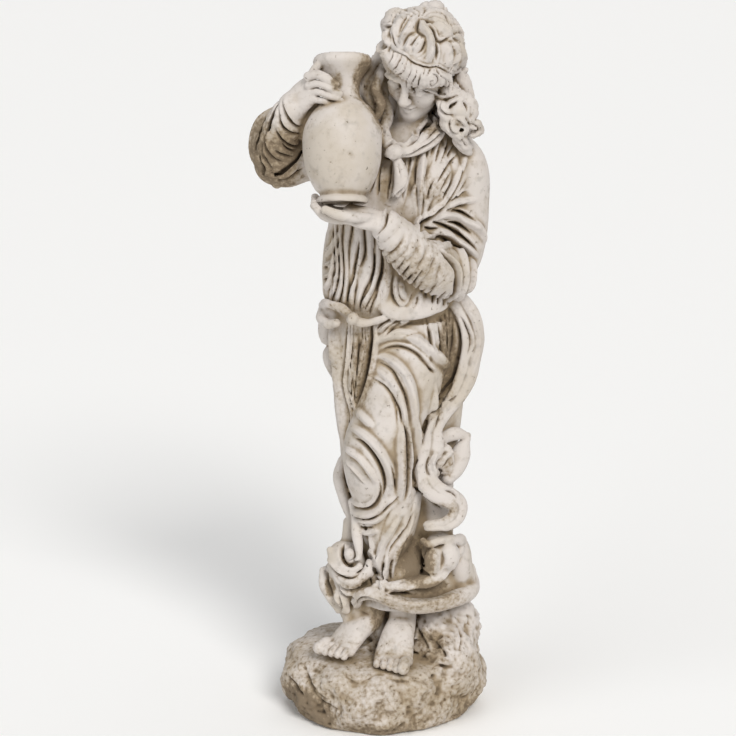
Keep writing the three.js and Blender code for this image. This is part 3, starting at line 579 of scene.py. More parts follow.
# Her bent left leg under the cloth, the cloth on both hips and what hangs beside the knee
leg = {
    "flutes": [
        [3, 1.2, [(10, 300), (2, 262), (-10, 228)], [(46, 300), (40, 262), (32, 228)]],
    ],
    "levels": [
        [174, 4, -36, 9, 12],
        [196, 4, -32, 18, 20],
        [214, 6, -30, 27, 25],
        [230, 5, -30, 33, 28],
        [262, 5, -32, 39, 31],
        [292, 0, -36, 43, 35],
        [322, -3, -40, 44, 38],
        [350, 0, -40, 43, 38],
        [385, 14, -34, 44, 39],
        [415, 22, -28, 44, 38],
        [447, 30, -20, 42, 36],
        [478, 34, -12, 40, 32],
    ],
    # two rolled edges across the hip, then the folds that slip off the thigh and round the knee
    "folds": [
        [15, 7, [(-12, 456), (-3, 463), (12, 468), (34, 464), (47, 455), (61, 442), (70, 421)]],
        [13, 6, [(-11, 441), (-1, 443), (12, 438), (23, 427), (31, 411), (35, 390), (35, 360)]],
        [9, 3, [(-8, 428), (8, 417), (18, 402), (23, 380), (24, 355)]],
        [12, 3.5, [(-31, 379), (-23, 375), (-12, 367)]],
        [13, 6, [(-38, 361), (-22, 357), (-8, 345), (3, 326), (8, 305), (8, 285)]],
        [11, 4, [(-44, 335), (-30, 332), (-18, 319), (-8, 300)]],
        [12, 5, [(-45, 277), (-36, 257), (-24, 254), (-8, 262), (4, 280)]],
        [9, 4, [(-38, 246), (-24, 247), (-8, 251), (6, 266)]],
        [10, 4, [(-32, 233), (-20, 232), (-6, 238)]],
        [13, 6, [(22, 372), (20, 350), (20, 310), (20, 275)]],
        [11, 6, [(34, 385), (37, 350), (38, 315), (34, 280)]],
        [12, 5, [(60, 410), (52, 375), (46, 345), (42, 310)]],
        [10, 3, [(22, 260), (10, 239), (-1, 220), (-5, 196), (-3, 178)]],
        [9, 3, [(36, 252), (25, 230), (16, 208), (13, 190)]],
        [6, 3, [(-14, 208), (-14, 192), (-11, 178)]],
        [6, 3, [(4, 206), (3, 192), (4, 178)]],
    ],
    "creases": [
        [4, 4, [(-7, 448), (6, 454), (20, 456), (37, 449), (50, 435), (60, 420)]],
        [3, 3.4, [(-9, 436), (-3, 436), (9, 430), (17, 419), (25, 403), (28, 382)]],
        [3, 3, [(-14, 419), (1, 413), (9, 403), (14, 387), (16, 362)]],
        [4, 6, [(-36, 352), (-23, 349), (-13, 339), (-4, 325), (1, 311), (2, 295), (-3, 276)]],
        [3, 5, [(-44, 322), (-33, 311), (-22, 297)]],
        [4, 6, [(-44, 288), (-38, 268), (-26, 263), (-13, 269), (-5, 283), (-4, 296), (-7, 307)]],
        [3, 4, [(-38, 251), (-26, 250), (-14, 252), (-4, 262)]],
        [3, 5, [(-31, 241), (-22, 239), (-12, 242)]],
        [4, 6, [(20, 380), (26, 359), (28, 339), (29, 315), (28, 293), (25, 274)]],
        [3, 5, [(8, 408), (13, 397), (18, 387), (21, 370)]],
        [3, 4, [(6, 330), (11, 310), (14, 290)]],
        [2.5, 3, [(18, 285), (7, 272), (-3, 260)]],
        [2.5, 3, [(36, 262), (24, 240), (10, 219), (4, 204)]],
        [2.5, 5, [(-5, 205), (-8, 193), (-7, 174)]],
        [2.5, 5, [(2, 197), (-1, 184), (2, 174)]],
        [2.5, 5, [(12, 201), (8, 186), (9, 172)]],
        [2.5, 4, [(44, 330), (45, 300), (42, 275)]],
        [6, 9, [(-22, 234), (-16, 216), (-17, 205), (-15, 182), (-13, 164)]],
    ],
}
hip = {
    "flutes": [[4, 2.2, [(42, 492), (46, 462), (50, 440)], [(76, 492), (76, 462), (73, 436)]]],
    "folds": [
        [9, 5, [(-6, 470), (2, 480), (14, 486)]],
        [8, 5, [(6, 474), (22, 482), (34, 488)]],
    ],
    "creases": [
        [3, 5, [(-8, 474), (0, 481), (10, 486)]],
        [3, 5, [(0, 466), (12, 477), (25, 486)]],
        [3, 4, [(49, 478), (54, 462), (57, 448)]],
        [3, 4, [(57, 482), (64, 466), (67, 450), (70, 434)]],
        [8, 5, [(9, 470), (22, 471), (37, 471)]],
        [3, 3, [(51, 432), (57, 426)]],
        [15, 7, [(77, 480), (80, 452), (77, 425), (66, 400), (55, 380)]],
    ],
}
hanging = {
    "kneeCloth": [[(-42, -14, 322), (-48, -12, 303), (-51, -12, 287), (-46, -14, 267), (-36, -16, 238)],
                  [3, 6, 7, 7, 6]],
    "hipFold": [[(-54, 10, 486), (-63, 9, 464), (-63, 8, 452), (-57, 8, 442), (-60, 7, 432), (-56, 6, 414),
                 (-48, 4, 396)],
                [8, 12, 11, 8, 10, 8, 4]],
    "creases": [[4, 6, [(-60, 481), (-62, 460), (-61, 440), (-59, 420)]]],
}


def carveLeg():
    column(leg["levels"], soft=5)
    carveFlutes(leg)
    carveStrokes(leg)


def carveHip():
    carveFlutes(hip)
    carveStrokes(hip)
    limb(*hanging["kneeCloth"])
    limb(*hanging["hipFold"], soft=5)
    carveStrokes(hanging)


# The hem, a heavy roll that dips over the feet and rests on the rock
hem = {
    "path": [
        (-31, -38, 142), (-28, -50, 155), (-14, -58, 161), (0, -62, 158), (13, -62, 152), (35, -62, 147),
        (59, -58, 147), (81, -48, 150), (96, -30, 150), (102, -6, 150), (92, 26, 152), (50, 50, 152),
        (0, 46, 152), (-28, 22, 152), (-36, -14, 146),
    ],
    "sizes": [6, 7, 8, 9, 9, 10, 11, 12, 12, 13, 10, 8, 8, 9, 8],
    "bulge": [(-39, -50, 206), (5.5, 6, 6)],
    "masses": [
        [(-44, -28, 196), (20, 20, 18)],
        [(-42, -30, 184), (22, 22, 20)],
        [(-42, -28, 168), (18, 20, 20)],
        [(-44, -28, 148), (12, 14, 20)],
        [(-33, -26, 132), (12, 12, 14)],
        [(66, -32, 204), (21, 19, 21)],
        [(88, -16, 182), (16, 22, 34)],
        [(-57, -12, 164), (13, 10, 20)],
        [(59, -54, 198), (12, 11, 17)],  # the lobes of the right bunch
        [(76, -50, 204), (12, 12, 17)],
    ],
    "bunches": [  # the gathered cloth on both sides of her shins
        [[(-38, -14, 232), (-40, -18, 216), (-46, -14, 190), (-44, -18, 148), (-40, -28, 118)],
         [8, 9, 16, 16, 8]],
        [[(-68, -22, 176), (-66, -26, 160), (-58, -30, 146), (-50, -32, 130)],
         [(5, 3), (8, 4), (8, 4), (5, 3)]],
        [[(-34, -30, 264), (-30, -40, 244), (-30, -46, 228), (-29, -51, 214), (-29, -52, 202)],
         [(6, 4), (6, 4), (6, 4), (4.5, 4), (2.5, 3)]],
        [[(-62, -32, 205), (-57, -40, 197), (-47, -47, 189), (-36, -51, 187), (-28, -52, 192)],
         [(3, 2), (6, 3), (7, 4), (5, 4), (4, 3)]],
        [[(-56, -34, 187), (-48, -44, 178), (-38, -50, 174), (-26, -50, 178), (-17, -48, 188),
          (-12, -44, 200)],
         [5, 7, 8, 7, 6, 4]],
        [[(-58, -30, 176), (-50, -38, 166), (-40, -44, 160), (-30, -46, 162)], [4, 6, 6, 4]],
        [[(-50, -38, 158), (-47, -40, 146), (-43, -41, 134)], [5, 7, 4]],
        [[(46, -47, 221), (53, -53, 219), (63, -52, 222), (72, -50, 223), (81, -42, 220), (88, -28, 214)],
         [2, 4, 4, 5, 6, 8]],
        [[(80, -20, 206), (86, -18, 186), (94, -12, 163), (97, -10, 146)], [13, 15, 15, 12]],
        [[(-9, -54, 166), (13, -58, 169), (35, -58, 174), (56, -56, 179), (76, -46, 192), (88, -32, 204)],
         [5, 6, 6, 7, 7, 6]],
    ],
    "hollows": [
        [[(44, -52, 214), (45, -54, 198), (38, -58, 186), (20, -62, 176)], [3, 7, 6, 2.5]],
        [[(-24, -48, 252), (-20, -48, 234), (-19, -48, 219), (-18, -48, 207)],
         [(1, 4), (1.6, 5), (2.2, 6), (1.2, 4)]],
        [[(37, -68, 156), (60, -63, 163), (86, -45, 170)], [2, 4.5, 4]],
        [[(48, -52, 229), (60, -56, 232), (74, -50, 231)], [3, 5.5, 4]],
    ],
    "folds": [
        [10, 3, [(-15, 163), (5, 160), (30, 152), (60, 152), (84, 157), (98, 152)]],
        [7, 3, [(-8, 190), (-3, 175), (0, 165)]],
        [7, 3, [(4, 196), (2, 184), (1, 172)]],
    ],
    "creases": [
        [3, 6, [(-64, 196), (-58, 188), (-50, 181), (-42, 179), (-34, 180), (-28, 184)]],
        [3, 6, [(-60, 180), (-52, 170), (-42, 165), (-32, 164), (-22, 168)]],
        [3, 5, [(-56, 170), (-48, 160), (-40, 154), (-32, 153)]],
        [3, 6, [(-37, 152), (-36, 146), (-36, 136)]],
        [3, 5, [(-52, 156), (-48, 142), (-44, 130)]],
        [7, 2.5, [(68, 212), (69, 202), (66, 190)]],
        [4, 8, [(14, 166), (26, 168), (38, 171), (50, 172), (62, 176), (76, 184)]],
        [3, 5, [(4, 163), (20, 161), (34, 160)]],
        [3, 4, [(-31, 140), (-30, 150), (-23, 158), (-10, 158), (6, 152)]],
    ],
    "gaps": [
        [4, 8, [(-46, 212), (-47, 203), (-43, 196), (-37, 193), (-33, 196)]],
        [5, 7, [(-68, 178), (-62, 166), (-56, 154), (-51, 143)]],
        [4, 6, [(49, 214), (46, 204), (47, 192), (55, 183)]],
        [4, 6, [(-16, 206), (-12, 192), (-9, 176)]],
    ],
}
fluteEnds = {  # the soft ends of the skirt's flutes, round the back of the hem
    "count": 14,
    "turns": (0.1, 3.45),  # where the first and the last are, in radians from her left
    "centre": (33, -4, 154),
    "reach": (68, 54),
    "radius": 10,
    "halfTall": 18,
    "uneven": 4,
}


def carveFluteEnds():
    x, y, z = fluteEnds["centre"]
    reachX, reachY = fluteEnds["reach"]
    radius, uneven = fluteEnds["radius"], fluteEnds["uneven"]
    for turn in np.linspace(*fluteEnds["turns"], fluteEnds["count"]):
        place = (x + reachX * math.cos(turn), y + reachY * math.sin(turn), z + uneven * math.sin(7 * turn))
        egg(place, (radius, radius, fluteEnds["halfTall"] + uneven * math.cos(9 * turn)), soft=6)


def carveHem():
    limb(hem["path"] + hem["path"][:1], hem["sizes"] + hem["sizes"][:1], soft=4)
    carveFluteEnds()
    for centre, radii in hem["masses"]:
        egg(centre, radii, soft=6)
    for path, sizes in hem["bunches"]:
        limb(path, sizes, soft=3)
    for path, sizes in hem["hollows"]:
        limb(path, sizes, soft=2, cut=True)
    carveStrokes(hem)
    egg(*hem["bulge"], soft=1)


# The scarf that falls from her left hip and turns back on itself twice
scarf = {
    "path": [
        (82, -16, 503), (96, -13, 480), (100, -12, 462), (99, -12, 437), (92, -16, 409), (82, -24, 389),
        (67, -36, 371), (56, -46, 356), (54, -50, 342), (52, -54, 328), (48, -57, 312), (51, -58, 296),
        (61, -57, 285), (75, -54, 277), (85, -49, 265), (83, -49, 252), (71, -51, 243), (52, -50, 240),
    ],
    "sizes": [
        (11, 6), (12, 6), (13, 6), (14, 6), (13, 6), (13, 6), (11, 6), (9, 6), (9, 6),
        (12, 6), (15, 6), (14, 6), (12, 6), (11, 6), (10, 6), (9, 6), (7, 5), (4, 4),
    ],
    "facing": (0.25, -1, 0.1),
    "flaps": [
        [[(58, -42, 347), (66, -36, 342), (80, -32, 346), (96, -24, 341)],
         [(6, 6), (7, 6), (7, 5), (3, 3)]],
        [[(94, -24, 336), (88, -30, 320), (81, -36, 305), (74, -42, 295)],
         [(5, 5), (11, 7), (11, 8), (7, 7)]],
    ],
    "filling": [(72, -42, 318), (9, 9, 18)],
    "backing": [
        [186, 66, -8, 18, 20],
        [230, 62, -8, 20, 22],
        [290, 56, -10, 26, 24],
        [340, 58, -8, 30, 22],
        [400, 66, -2, 28, 18],
        [460, 76, -2, 22, 16],
        [492, 74, -2, 18, 14],
    ],
    "folds": [
        [7, 5, [(62, 333), (56, 320), (60, 304)]],
        [7, 5, [(78, 330), (66, 316), (70, 302)]],
        [8, 3, [(90, 500), (106, 470), (108, 440), (99, 405)]],
    ],
    "creases": [
        [5, 9, [(79, 484), (86, 469), (88, 450), (85, 429), (78, 407), (68, 390), (55, 374), (47, 355),
                (45, 340)]],
        [4, 8, [(41, 326), (34, 311), (38, 291), (50, 277), (63, 259), (71, 254)]],
        [3, 4, [(86, 486), (95, 471), (99, 452), (96, 432)]],
        [3, 4, [(84, 392), (70, 382), (61, 368), (58, 358)]],
        [3, 5, [(66, 326), (61, 315), (66, 303)]],
        [3, 4, [(52, 328), (50, 316), (54, 302)]],
        [3, 4, [(68, 288), (80, 283), (86, 274)]],
    ],
}


def carveScarf():
    column(scarf["backing"], soft=8)

    def rolledEdges(run, turn):  # the band is dished, so that both its edges stand up
        dish = np.exp(-(((turn - math.pi / 2) / 0.8) ** 2))
        return 0.5 * np.cos(2 * turn) - 1.5 * dish + 0.5 * np.sin(23 * run) * np.cos(turn)

    limb(scarf["path"], scarf["sizes"], scarf["facing"], soft=2, relief=rolledEdges)
    for path, sizes in scarf["flaps"]:
        limb(path, sizes, scarf["facing"], soft=2)
    egg(*scarf["filling"], soft=5)
    carveStrokes(scarf)


# The blouse, gathered at the belt, bloused over it, and drawn up to both shoulders
blouse = {
    "flutes": [
        [7, 5.0, [(-56, 592), (-58, 550), (-64, 502)], [(2, 592), (2, 545), (-14, 496)]],
        [6, 2.0, [(34, 700), (28, 650), (36, 602)], [(92, 700), (106, 652), (60, 602)]],
    ],
    "levels": [
        [478, 9, -3, 62, 38],
        [500, 7, -6, 73, 46],
        [520, 7, -6, 75, 48],
        [560, 9, -5, 76, 50],
        [600, 17, -3, 75, 50],
        [640, 28, -1, 70, 49],
        [668, 32, -1, 64, 42],
        [688, 31, -5, 48, 31],
        [704, 31, -7, 26, 22],
    ],
    "folds": [
        [9, 5, [(-48, 586), (-58, 566), (-67, 552)]],
        [9, 5, [(-49, 570), (-57, 549), (-67, 540)]],
        [9, 5, [(-51, 552), (-58, 535), (-67, 526)]],
        [9, 5, [(-52, 536), (-60, 522), (-66, 514)]],
        [12, 4, [(4, 560), (3, 535), (-2, 506)]],
        [10, 4, [(18, 532), (20, 518), (24, 511)]],
        [9, 4, [(13, 540), (14, 512), (24, 500), (33, 506)]],
        [9, 4, [(40, 520), (40, 508), (36, 497)]],
        [14, 6, [(-4, 501), (2, 494), (14, 491), (29, 494), (45, 495), (62, 496), (76, 500)]],
        [10, 4, [(44, 684), (42, 655), (40, 615)]],
        [8, 4, [(92, 676), (84, 654), (74, 634), (62, 614)]],
    ],
    "creases": [
        [3, 4.5, [(-49, 582), (-51, 566), (-53, 549), (-56, 533), (-58, 512), (-58, 500)]],
        [4, 6, [(-27, 585), (-28, 569), (-31, 552), (-34, 533), (-39, 516), (-44, 500)]],
        [2.2, 4.5, [(-13, 576), (-11, 558), (-12, 541), (-15, 524), (-23, 510), (-26, 492)]],
        [4, 6, [(-1, 566), (-1, 545), (-5, 528), (-9, 514), (-14, 500), (-16, 488)]],
        [3, 4.5, [(-57, 570), (-63, 560), (-69, 553)]],
        [3, 4.5, [(-57, 554), (-62, 544), (-69, 538)]],
        [3, 4.5, [(-59, 540), (-63, 530), (-69, 524)]],
        [3, 4.5, [(10, 528), (11, 514), (17, 504), (25, 504), (32, 518)]],
        [2.2, 4, [(31, 500), (36, 507), (38, 518)]],
        [2.2, 4, [(47, 688), (48, 678), (47, 668)]],
        [2.2, 4, [(58, 694), (55, 682), (51, 672)]],
        [2.6, 3.4, [(66, 692), (61, 680), (58, 672), (56, 663)]],
        [2.2, 3.2, [(73, 694), (70, 681), (66, 672), (61, 662)]],
        [2.2, 3.2, [(78, 682), (73, 676), (69, 670)]],
        [2.2, 3.6, [(85, 673), (76, 667), (69, 660), (65, 653), (61, 647), (57, 641)]],
        [2.2, 3.6, [(74, 655), (68, 646), (64, 639), (61, 632)]],
        [2.2, 3.2, [(75, 645), (71, 637), (67, 630), (64, 622)]],
        [2.2, 3.2, [(57, 648), (52, 638), (50, 629), (49, 620)]],
        [5, 3, [(37, 666), (35, 653), (33, 643), (30, 633), (29, 626)]],
        [2.2, 3, [(30, 678), (29, 666), (27, 656), (26, 645)]],
        [2.2, 4, [(23, 672), (23, 661), (24, 650), (22, 636), (21, 623)]],
        [2.2, 4.5, [(-3, 664), (-4, 653), (-5, 644), (-5, 636), (-8, 626)]],
        [2.2, 4, [(-6, 656), (-9, 648), (-12, 639), (-15, 630)]],
        [2.2, 4, [(98, 636), (90, 629), (81, 624), (72, 621)]],
        [2.2, 3, [(90, 619), (83, 614), (75, 610)]],
    ],
}


def carveBlouse():
    def body(turn, z):
        bust = ease(0.2, 1, -np.sin(turn)) * np.exp(-(((z - 640) / 26) ** 2)) * np.abs(np.cos(turn)) ** 0.5
        wander = 0.12 * np.sin(z / 50) + 0.05 * np.sin(z / 19 + 2 * turn)
        phase = 6.5 * (turn + wander) + 0.8 * np.sin(3 * turn)
        wave = pillow(phase) + 0.4 * pillow(2.7 * phase + z / 30)
        behind = ease(-0.4, 0.4, np.sin(turn))
        return 7 * bust + 7 * behind * wave * (1 - ease(610, 690, z))

    column(blouse["levels"], body)
    carveFlutes(blouse)
    carveStrokes(blouse)


# The belt: a cord round the waist with a knot in front of her right hip
belt = {
    "path": [
        (-69, -8, 493), (-65, -26, 500), (-57, -37, 500), (-46, -44, 498), (-38, -50, 492), (-30, -54, 486),
        (-20, -54, 484), (-9, -53, 486), (2, -49, 489), (24, -38, 490), (50, -30, 490), (70, -18, 490),
        (80, -2, 490), (70, 22, 490), (44, 38, 488), (6, 42, 486), (-34, 36, 486), (-62, 20, 488),
    ],
    "sizes": [
        (3.6, 4.2), (3.4, 4), (2.4, 3), (2.3, 2.8), (2.4, 3), (3, 3.4), (3, 3.4), (3, 3.6), (3.2, 3.8),
        (3.6, 4.2),
    ],
    "knot": [(-35, -55, 489), (6, 5.5, 6)],
    # the second turn of the cord over her right hip, and the cloth inside it
    "loop": [[(-70, -2, 488), (-71, -18, 480), (-63, -32, 477), (-54, -40, 480)], [3, 4.5, 4.5, 3]],
    "filling": [(-60, -6, 487), (12, 16, 13)],
    # the lower edge of the blouse, which hides the rest of the cord
    "overhang": [
        [(-4, -46, 508), (4, -48, 503), (16, -49, 501), (32, -48, 500), (48, -44, 502), (62, -36, 506)],
        [(4, 3), (11, 5), (13, 6), (13, 6), (11, 5), (6, 4)],
    ],
}


def carveBelt():
    def strands(run, turn):
        return 0.5 * np.cos(2 * turn + 90 * run)

    limb(belt["path"] + belt["path"][:1], belt["sizes"], (0, 0, 1), soft=1, relief=strands)
    limb(*belt["loop"], soft=1)
    egg(*belt["filling"], soft=5)
    egg(*belt["knot"], soft=1)
    limb(*belt["overhang"], (0, -1, 0.3), soft=7)


# The neck, and a shawl tied on her chest
neck = [[(30, -4, 676), (28, -6, 692), (33, -20, 726), (36, -30, 750)], [24, 19, 17, 19]]
shawl = {
    "left": [
        [(30, 26, 700), (60, 14, 704), (64, -22, 706), (54, -40, 694), (36, -50, 684), (14, -57, 679)],
        [(7, 7), (8, 8), (9, 8), (9, 7), (9, 7), (7, 6)],
    ],
    "right": [
        [(10, -56, 680), (-4, -48, 694), (-12, -22, 703), (2, 14, 704), (30, 26, 700)],
        [(7, 6), (7, 6), (8, 7), (8, 8), (7, 7)],
    ],
    "knot": [(11, -59, 680), (10, 8, 8)],
    "ends": [
        [[(5, -57, 674), (1, -59, 656), (-2, -60, 638), (-3, -60, 622)], [(4, 3), (5, 4), (6, 4), (4, 3)]],
        [[(13, -57, 674), (17, -59, 660), (18, -60, 645), (13, -60, 633)], [(4, 3), (6, 4), (7, 5), (4, 3)]],
    ],
    "creases": [
        [4, 8, [(58, 711), (51, 705), (42, 698), (35, 693), (26, 687), (21, 685)]],
        [2.5, 3, [(62, 706), (52, 698), (44, 690), (34, 685)]],
        [3, 5, [(68, 705), (58, 694), (49, 688), (40, 683), (33, 680), (26, 677), (18, 676)]],
        [2.5, 4, [(-1, 682), (4, 687), (11, 689), (18, 687), (22, 684)]],
        [3, 5, [(-2, 672), (6, 672), (16, 673)]],
        [2.5, 4, [(-4, 706), (-1, 699), (-2, 690)]],
        [2.5, 4, [(2, 703), (5, 694), (8, 690)]],
        [2.2, 4, [(9, 671), (8, 658), (7, 645), (5, 632), (5, 622)]],
        [1.6, 2, [(15, 670), (17, 660), (18, 650)]],
        [2.2, 4, [(24, 654), (22, 643), (14, 635), (8, 630)]],
    ],
}


def carveNeck():
    limb(*neck, soft=8)
    limb(*shawl["left"], soft=1.5)
    limb(*shawl["right"], soft=1.5)
    egg(*shawl["knot"], soft=1.5)
    for path, sizes in shawl["ends"]:
        limb(path, sizes, soft=1.5)
    carveStrokes(shawl)


# The sleeves: a full upper arm and a ruched forearm
sleeves = {
    "left": {
        "upper": [(66, -2, 684), (88, 0, 660), (93, 0, 606), (88, -8, 556), (74, -22, 526)],
        "upperSizes": [16, 26, 26, 25, 22],
        "lower": [(77, -26, 534), (54, -50, 548), (24, -72, 576), (4, -84, 600)],
        "lowerSizes": [28, 29, 26, 18],
        "ruche": 0.8,
        "rings": 9,
    },
    "right": {
        "upper": [(4, 0, 664), (-40, 0, 668), (-88, -4, 664), (-121, -12, 664)],
        "upperSizes": [24, 31, 28, 24],
        "lower": [(-123, -10, 657), (-119, -22, 682), (-110, -36, 708), (-100, -46, 726)],
        "lowerSizes": [22, 23, 21, 17],
        "ruche": 0.8,
        "rings": 7,
    },
    "folds": [
        [13, 6, [(47, 600), (69, 606), (91, 596), (110, 582), (118, 566)]],
        [12, 6, [(52, 587), (72, 581), (93, 566), (106, 552)]],
        [10, 4, [(56, 610), (80, 618), (104, 618)]],
        [11, 5, [(62, 574), (80, 568), (90, 548), (88, 520), (78, 502)]],
        [9, 4, [(98, 556), (100, 536), (92, 514)]],
    ],
    "creases": [
        [5, 12, [(73, 622), (66, 617), (61, 612), (55, 606), (48, 603), (43, 600), (39, 595)]],
        [2.5, 5, [(7, 618), (-1, 605), (-9, 591)]],
        [6, 1.4, [(22, 600), (14, 582), (0, 570)]],
        [6, 1.4, [(30, 594), (22, 576), (8, 562)]],
        [7, 1.4, [(38, 590), (31, 572), (16, 556)]],
        [6, 1.4, [(46, 582), (40, 562), (26, 544)]],
        [6, 1.4, [(54, 572), (50, 552), (36, 534)]],
        [6, 1.4, [(62, 562), (60, 544), (50, 522)]],
        [4, 8, [(50, 601), (59, 597), (68, 593), (78, 586), (88, 578), (98, 569), (106, 560)]],
        [3, 5, [(43, 595), (51, 591), (59, 591)]],
        [4, 7, [(46, 587), (55, 584), (66, 580), (84, 566), (99, 553)]],
        [5, 8, [(59, 575), (70, 564), (79, 551), (82, 533), (78, 514), (70, 496)]],
        [3, 5, [(62, 598), (84, 592), (100, 580)]],
        [3, 5, [(66, 610), (86, 606), (106, 592)]],
        [3, 5, [(94, 560), (95, 540), (88, 518)]],
        # the cuff and the rings round the right sleeve
        [3, 5, [(-111, 738), (-111, 732), (-108, 726), (-104, 718), (-100, 712), (-92, 706)]],
        [3, 5, [(-116, 729), (-114, 721), (-113, 713), (-109, 706), (-102, 701), (-92, 696)]],
        [3, 4, [(-120, 708), (-117, 699), (-112, 692), (-105, 686), (-94, 682)]],
        [3, 5, [(-125, 711), (-127, 701), (-128, 692), (-129, 684), (-127, 676), (-121, 670), (-113, 665)]],
        [3, 5, [(-133, 690), (-134, 680), (-132, 672), (-128, 664), (-123, 655)]],
        [4, 7, [(-138, 676), (-135, 667), (-131, 659), (-126, 652), (-122, 642)]],
        [3, 5, [(-143, 673), (-143, 664), (-141, 656)]],
        [3, 5, [(-122, 646), (-116, 643), (-102, 650), (-93, 659)]],
        [3, 3, [(-116, 692), (-107, 681), (-98, 677)]],
        [3, 3, [(-121, 680), (-113, 675), (-102, 670)]],
        [3, 4, [(-108, 644), (-99, 651), (-90, 657)]],
    ],
    "slits": [  # cut deep between the loose folds of the right sleeve
        [[(-124, -32, 726), (-130, -32, 716), (-136, -32, 700), (-141, -31, 687), (-146, -25, 674)],
         [(1.2, 8), (2, 11), (2.8, 12), (2.8, 12), (1.6, 8)]],
        [[(-117, -47, 729), (-122, -50, 720), (-126, -51, 712), (-130, -52, 699), (-134, -50, 687),
          (-138, -44, 674), (-139, -38, 664)],
         [(1.2, 8), (2.8, 11), (3.4, 12), (3.2, 11), (2.6, 10), (1.8, 8), (1, 6)]],
        [[(-143, -27, 673), (-142, -30, 663), (-140, -29, 656)], [(1, 4), (1.6, 5), (1, 4)]],
        [[(-138, -31, 669), (-133, -32, 659), (-126, -30, 651), (-119, -33, 649), (-108, -37, 658),
          (-98, -35, 667), (-92, -30, 676)],
         [(1, 6), (1.6, 8), (2.2, 9), (3, 9), (2.4, 9), (2, 9), (1.6, 8)]],
    ],
    "slack": [(-110, -10, 655), (27, 20, 24)],  # of the right sleeve, under the elbow
    "wrist": [[(-90, -34, 696), (-80, -44, 714), (-74, -48, 730)], [8, 9, 7]],
    "loose": {  # the loose cloth that hangs outside her right forearm, and the step from each to the next
        "count": 3,
        "path": [(-108, -34, 726), (-130, -22, 702), (-139, -14, 666), (-120, -16, 638)],
        "steps": [(-4, 8, -2), (-4, 6, 0), (-2, 4, 0), (0, 0, 0)],
        "sizes": [4, 7, 7, 6],
    },
    "tucks": {  # small ones up the left forearm, from the seam under it towards its upper edge
        "count": 13,
        "width": 2.6,
        "depth": 2.8,
        "lean": 0.05,
        "ends": (0.1, 0.7),
        "low": [(-8, 573), (8, 557), (23, 540), (37, 521), (55, 505), (72, 498)],
        "high": [(10, 602), (26, 598), (44, 588), (58, 575), (72, 562), (80, 545)],
    },
}


def carveSleeve(upper, upperSizes, lower, lowerSizes, ruche, rings):
    def ruching(run, turn):
        drift = 0.8 * np.sin(turn + 1) + 0.5 * np.sin(2 * turn + 9 * run)
        wave = pillow(rings * 3.14 * run + drift)
        return ruche * wave * (1.3 + 0.9 * np.sin(turn + 2.4) + 0.5 * np.sin(3 * turn + 20 * run))

    limb(upper, upperSizes, (0.3, -1, 0.2), soft=6)
    limb(lower, lowerSizes, (0.2, -1, 0.6), soft=5, relief=ruching)


def carveLoose(count, path, steps, sizes):
    for number in range(count):
        limb([tuple(a + number * b for a, b in zip(*pair)) for pair in zip(path, steps)], sizes, soft=2)


def carveTucks(count, width, depth, lean, ends, low, high):
    places = np.linspace(0, 1, len(low))
    for tuck in range(count):
        t = (tuck + 0.5) / count
        start = [np.interp(t, places, [p[k] for p in low]) for k in range(2)]
        aim = [np.interp(t + lean, places, [p[k] for p in high]) for k in range(2)]
        rise = 0.42 + 0.22 * math.sin(2.3 * tuck)
        middle = [a + (b - a) * rise * 0.5 + 1.5 * math.sin(3.1 * tuck) for a, b in zip(start, aim)]
        far = [a + (b - a) * rise for a, b in zip(start, aim)]
        crease([tuple(start), tuple(middle), tuple(far)], width, depth + math.sin(5.3 * tuck), ends)
    applyRelief()


def carveSleeves():
    carveSleeve(**sleeves["left"])
    carveSleeve(**sleeves["right"])
    egg(*sleeves["slack"], soft=8)
    limb(*sleeves["wrist"], soft=4)
    carveLoose(**sleeves["loose"])
    for path, sizes in sleeves["slits"]:
        limb(path, sizes, (-0.3, -1, 0.2), soft=1, cut=True)
    carveStrokes(sleeves)
    carveTucks(**sleeves["tucks"])


# The hands
finger = {"radius": 4.4, "smaller": 0.04, "taper": (1.15, 1, 1.02, 0.75)}  # smaller by a share each
hands = [
    {  # her left hand is a shelf under the jug's foot, the thumb lying along its front
        "palm": [(10, -82, 594), (-6, -87, 606), (-24, -86, 612), (-40, -82, 616)],
        "palmSizes": [(10, 10), (13, 10), (17, 9), (16, 7)],
        "facing": (0, -0.4, 1),
        "fingers": [[(-14, -94, 612), (-34, -108, 616), (-52, -110, 620), (-64, -106, 624)]]
        + [
            [
                (-34, -92 + 9 * i, 611 + i),
                (-52, -98 + 12 * i, 612 + i),
                (-66, -96 + 12 * i, 616 + i),
                (-76, -90 + 11 * i, 625 + i),
            ]
            for i in range(4)
        ],
    },
    {  # her right hand lies over the jug's neck, the forefinger raised to the lip
        "palm": [(-108, -38, 712), (-102, -44, 723), (-92, -50, 736), (-80, -56, 748)],
        "palmSizes": [(13, 12), (15, 12), (17, 10), (16, 8)],
        "facing": (-0.5, -0.9, 0.5),
        "fingers": [
            [(-82, -50, 758), (-76, -48, 768), (-70, -47, 776), (-66, -49, 782)],
            [(-82, -60, 762), (-73, -66, 765), (-64, -70, 762), (-54, -70, 755)],
            [(-82, -61, 753), (-72, -67, 756), (-62, -71, 753), (-49, -70, 745)],
            [(-82, -60, 745), (-72, -67, 747), (-62, -71, 744), (-47, -70, 738)],
            [(-82, -58, 738), (-74, -65, 738), (-66, -69, 737), (-57, -69, 733)],
        ],
    },
]


def carveHand(palm, palmSizes, facing, fingers):
    limb(palm, palmSizes, facing, soft=4)
    for number, path in enumerate(fingers):
        radius = finger["radius"] * (1 - finger["smaller"] * number)
        limb(path, [radius * share for share in finger["taper"]], soft=1.5)


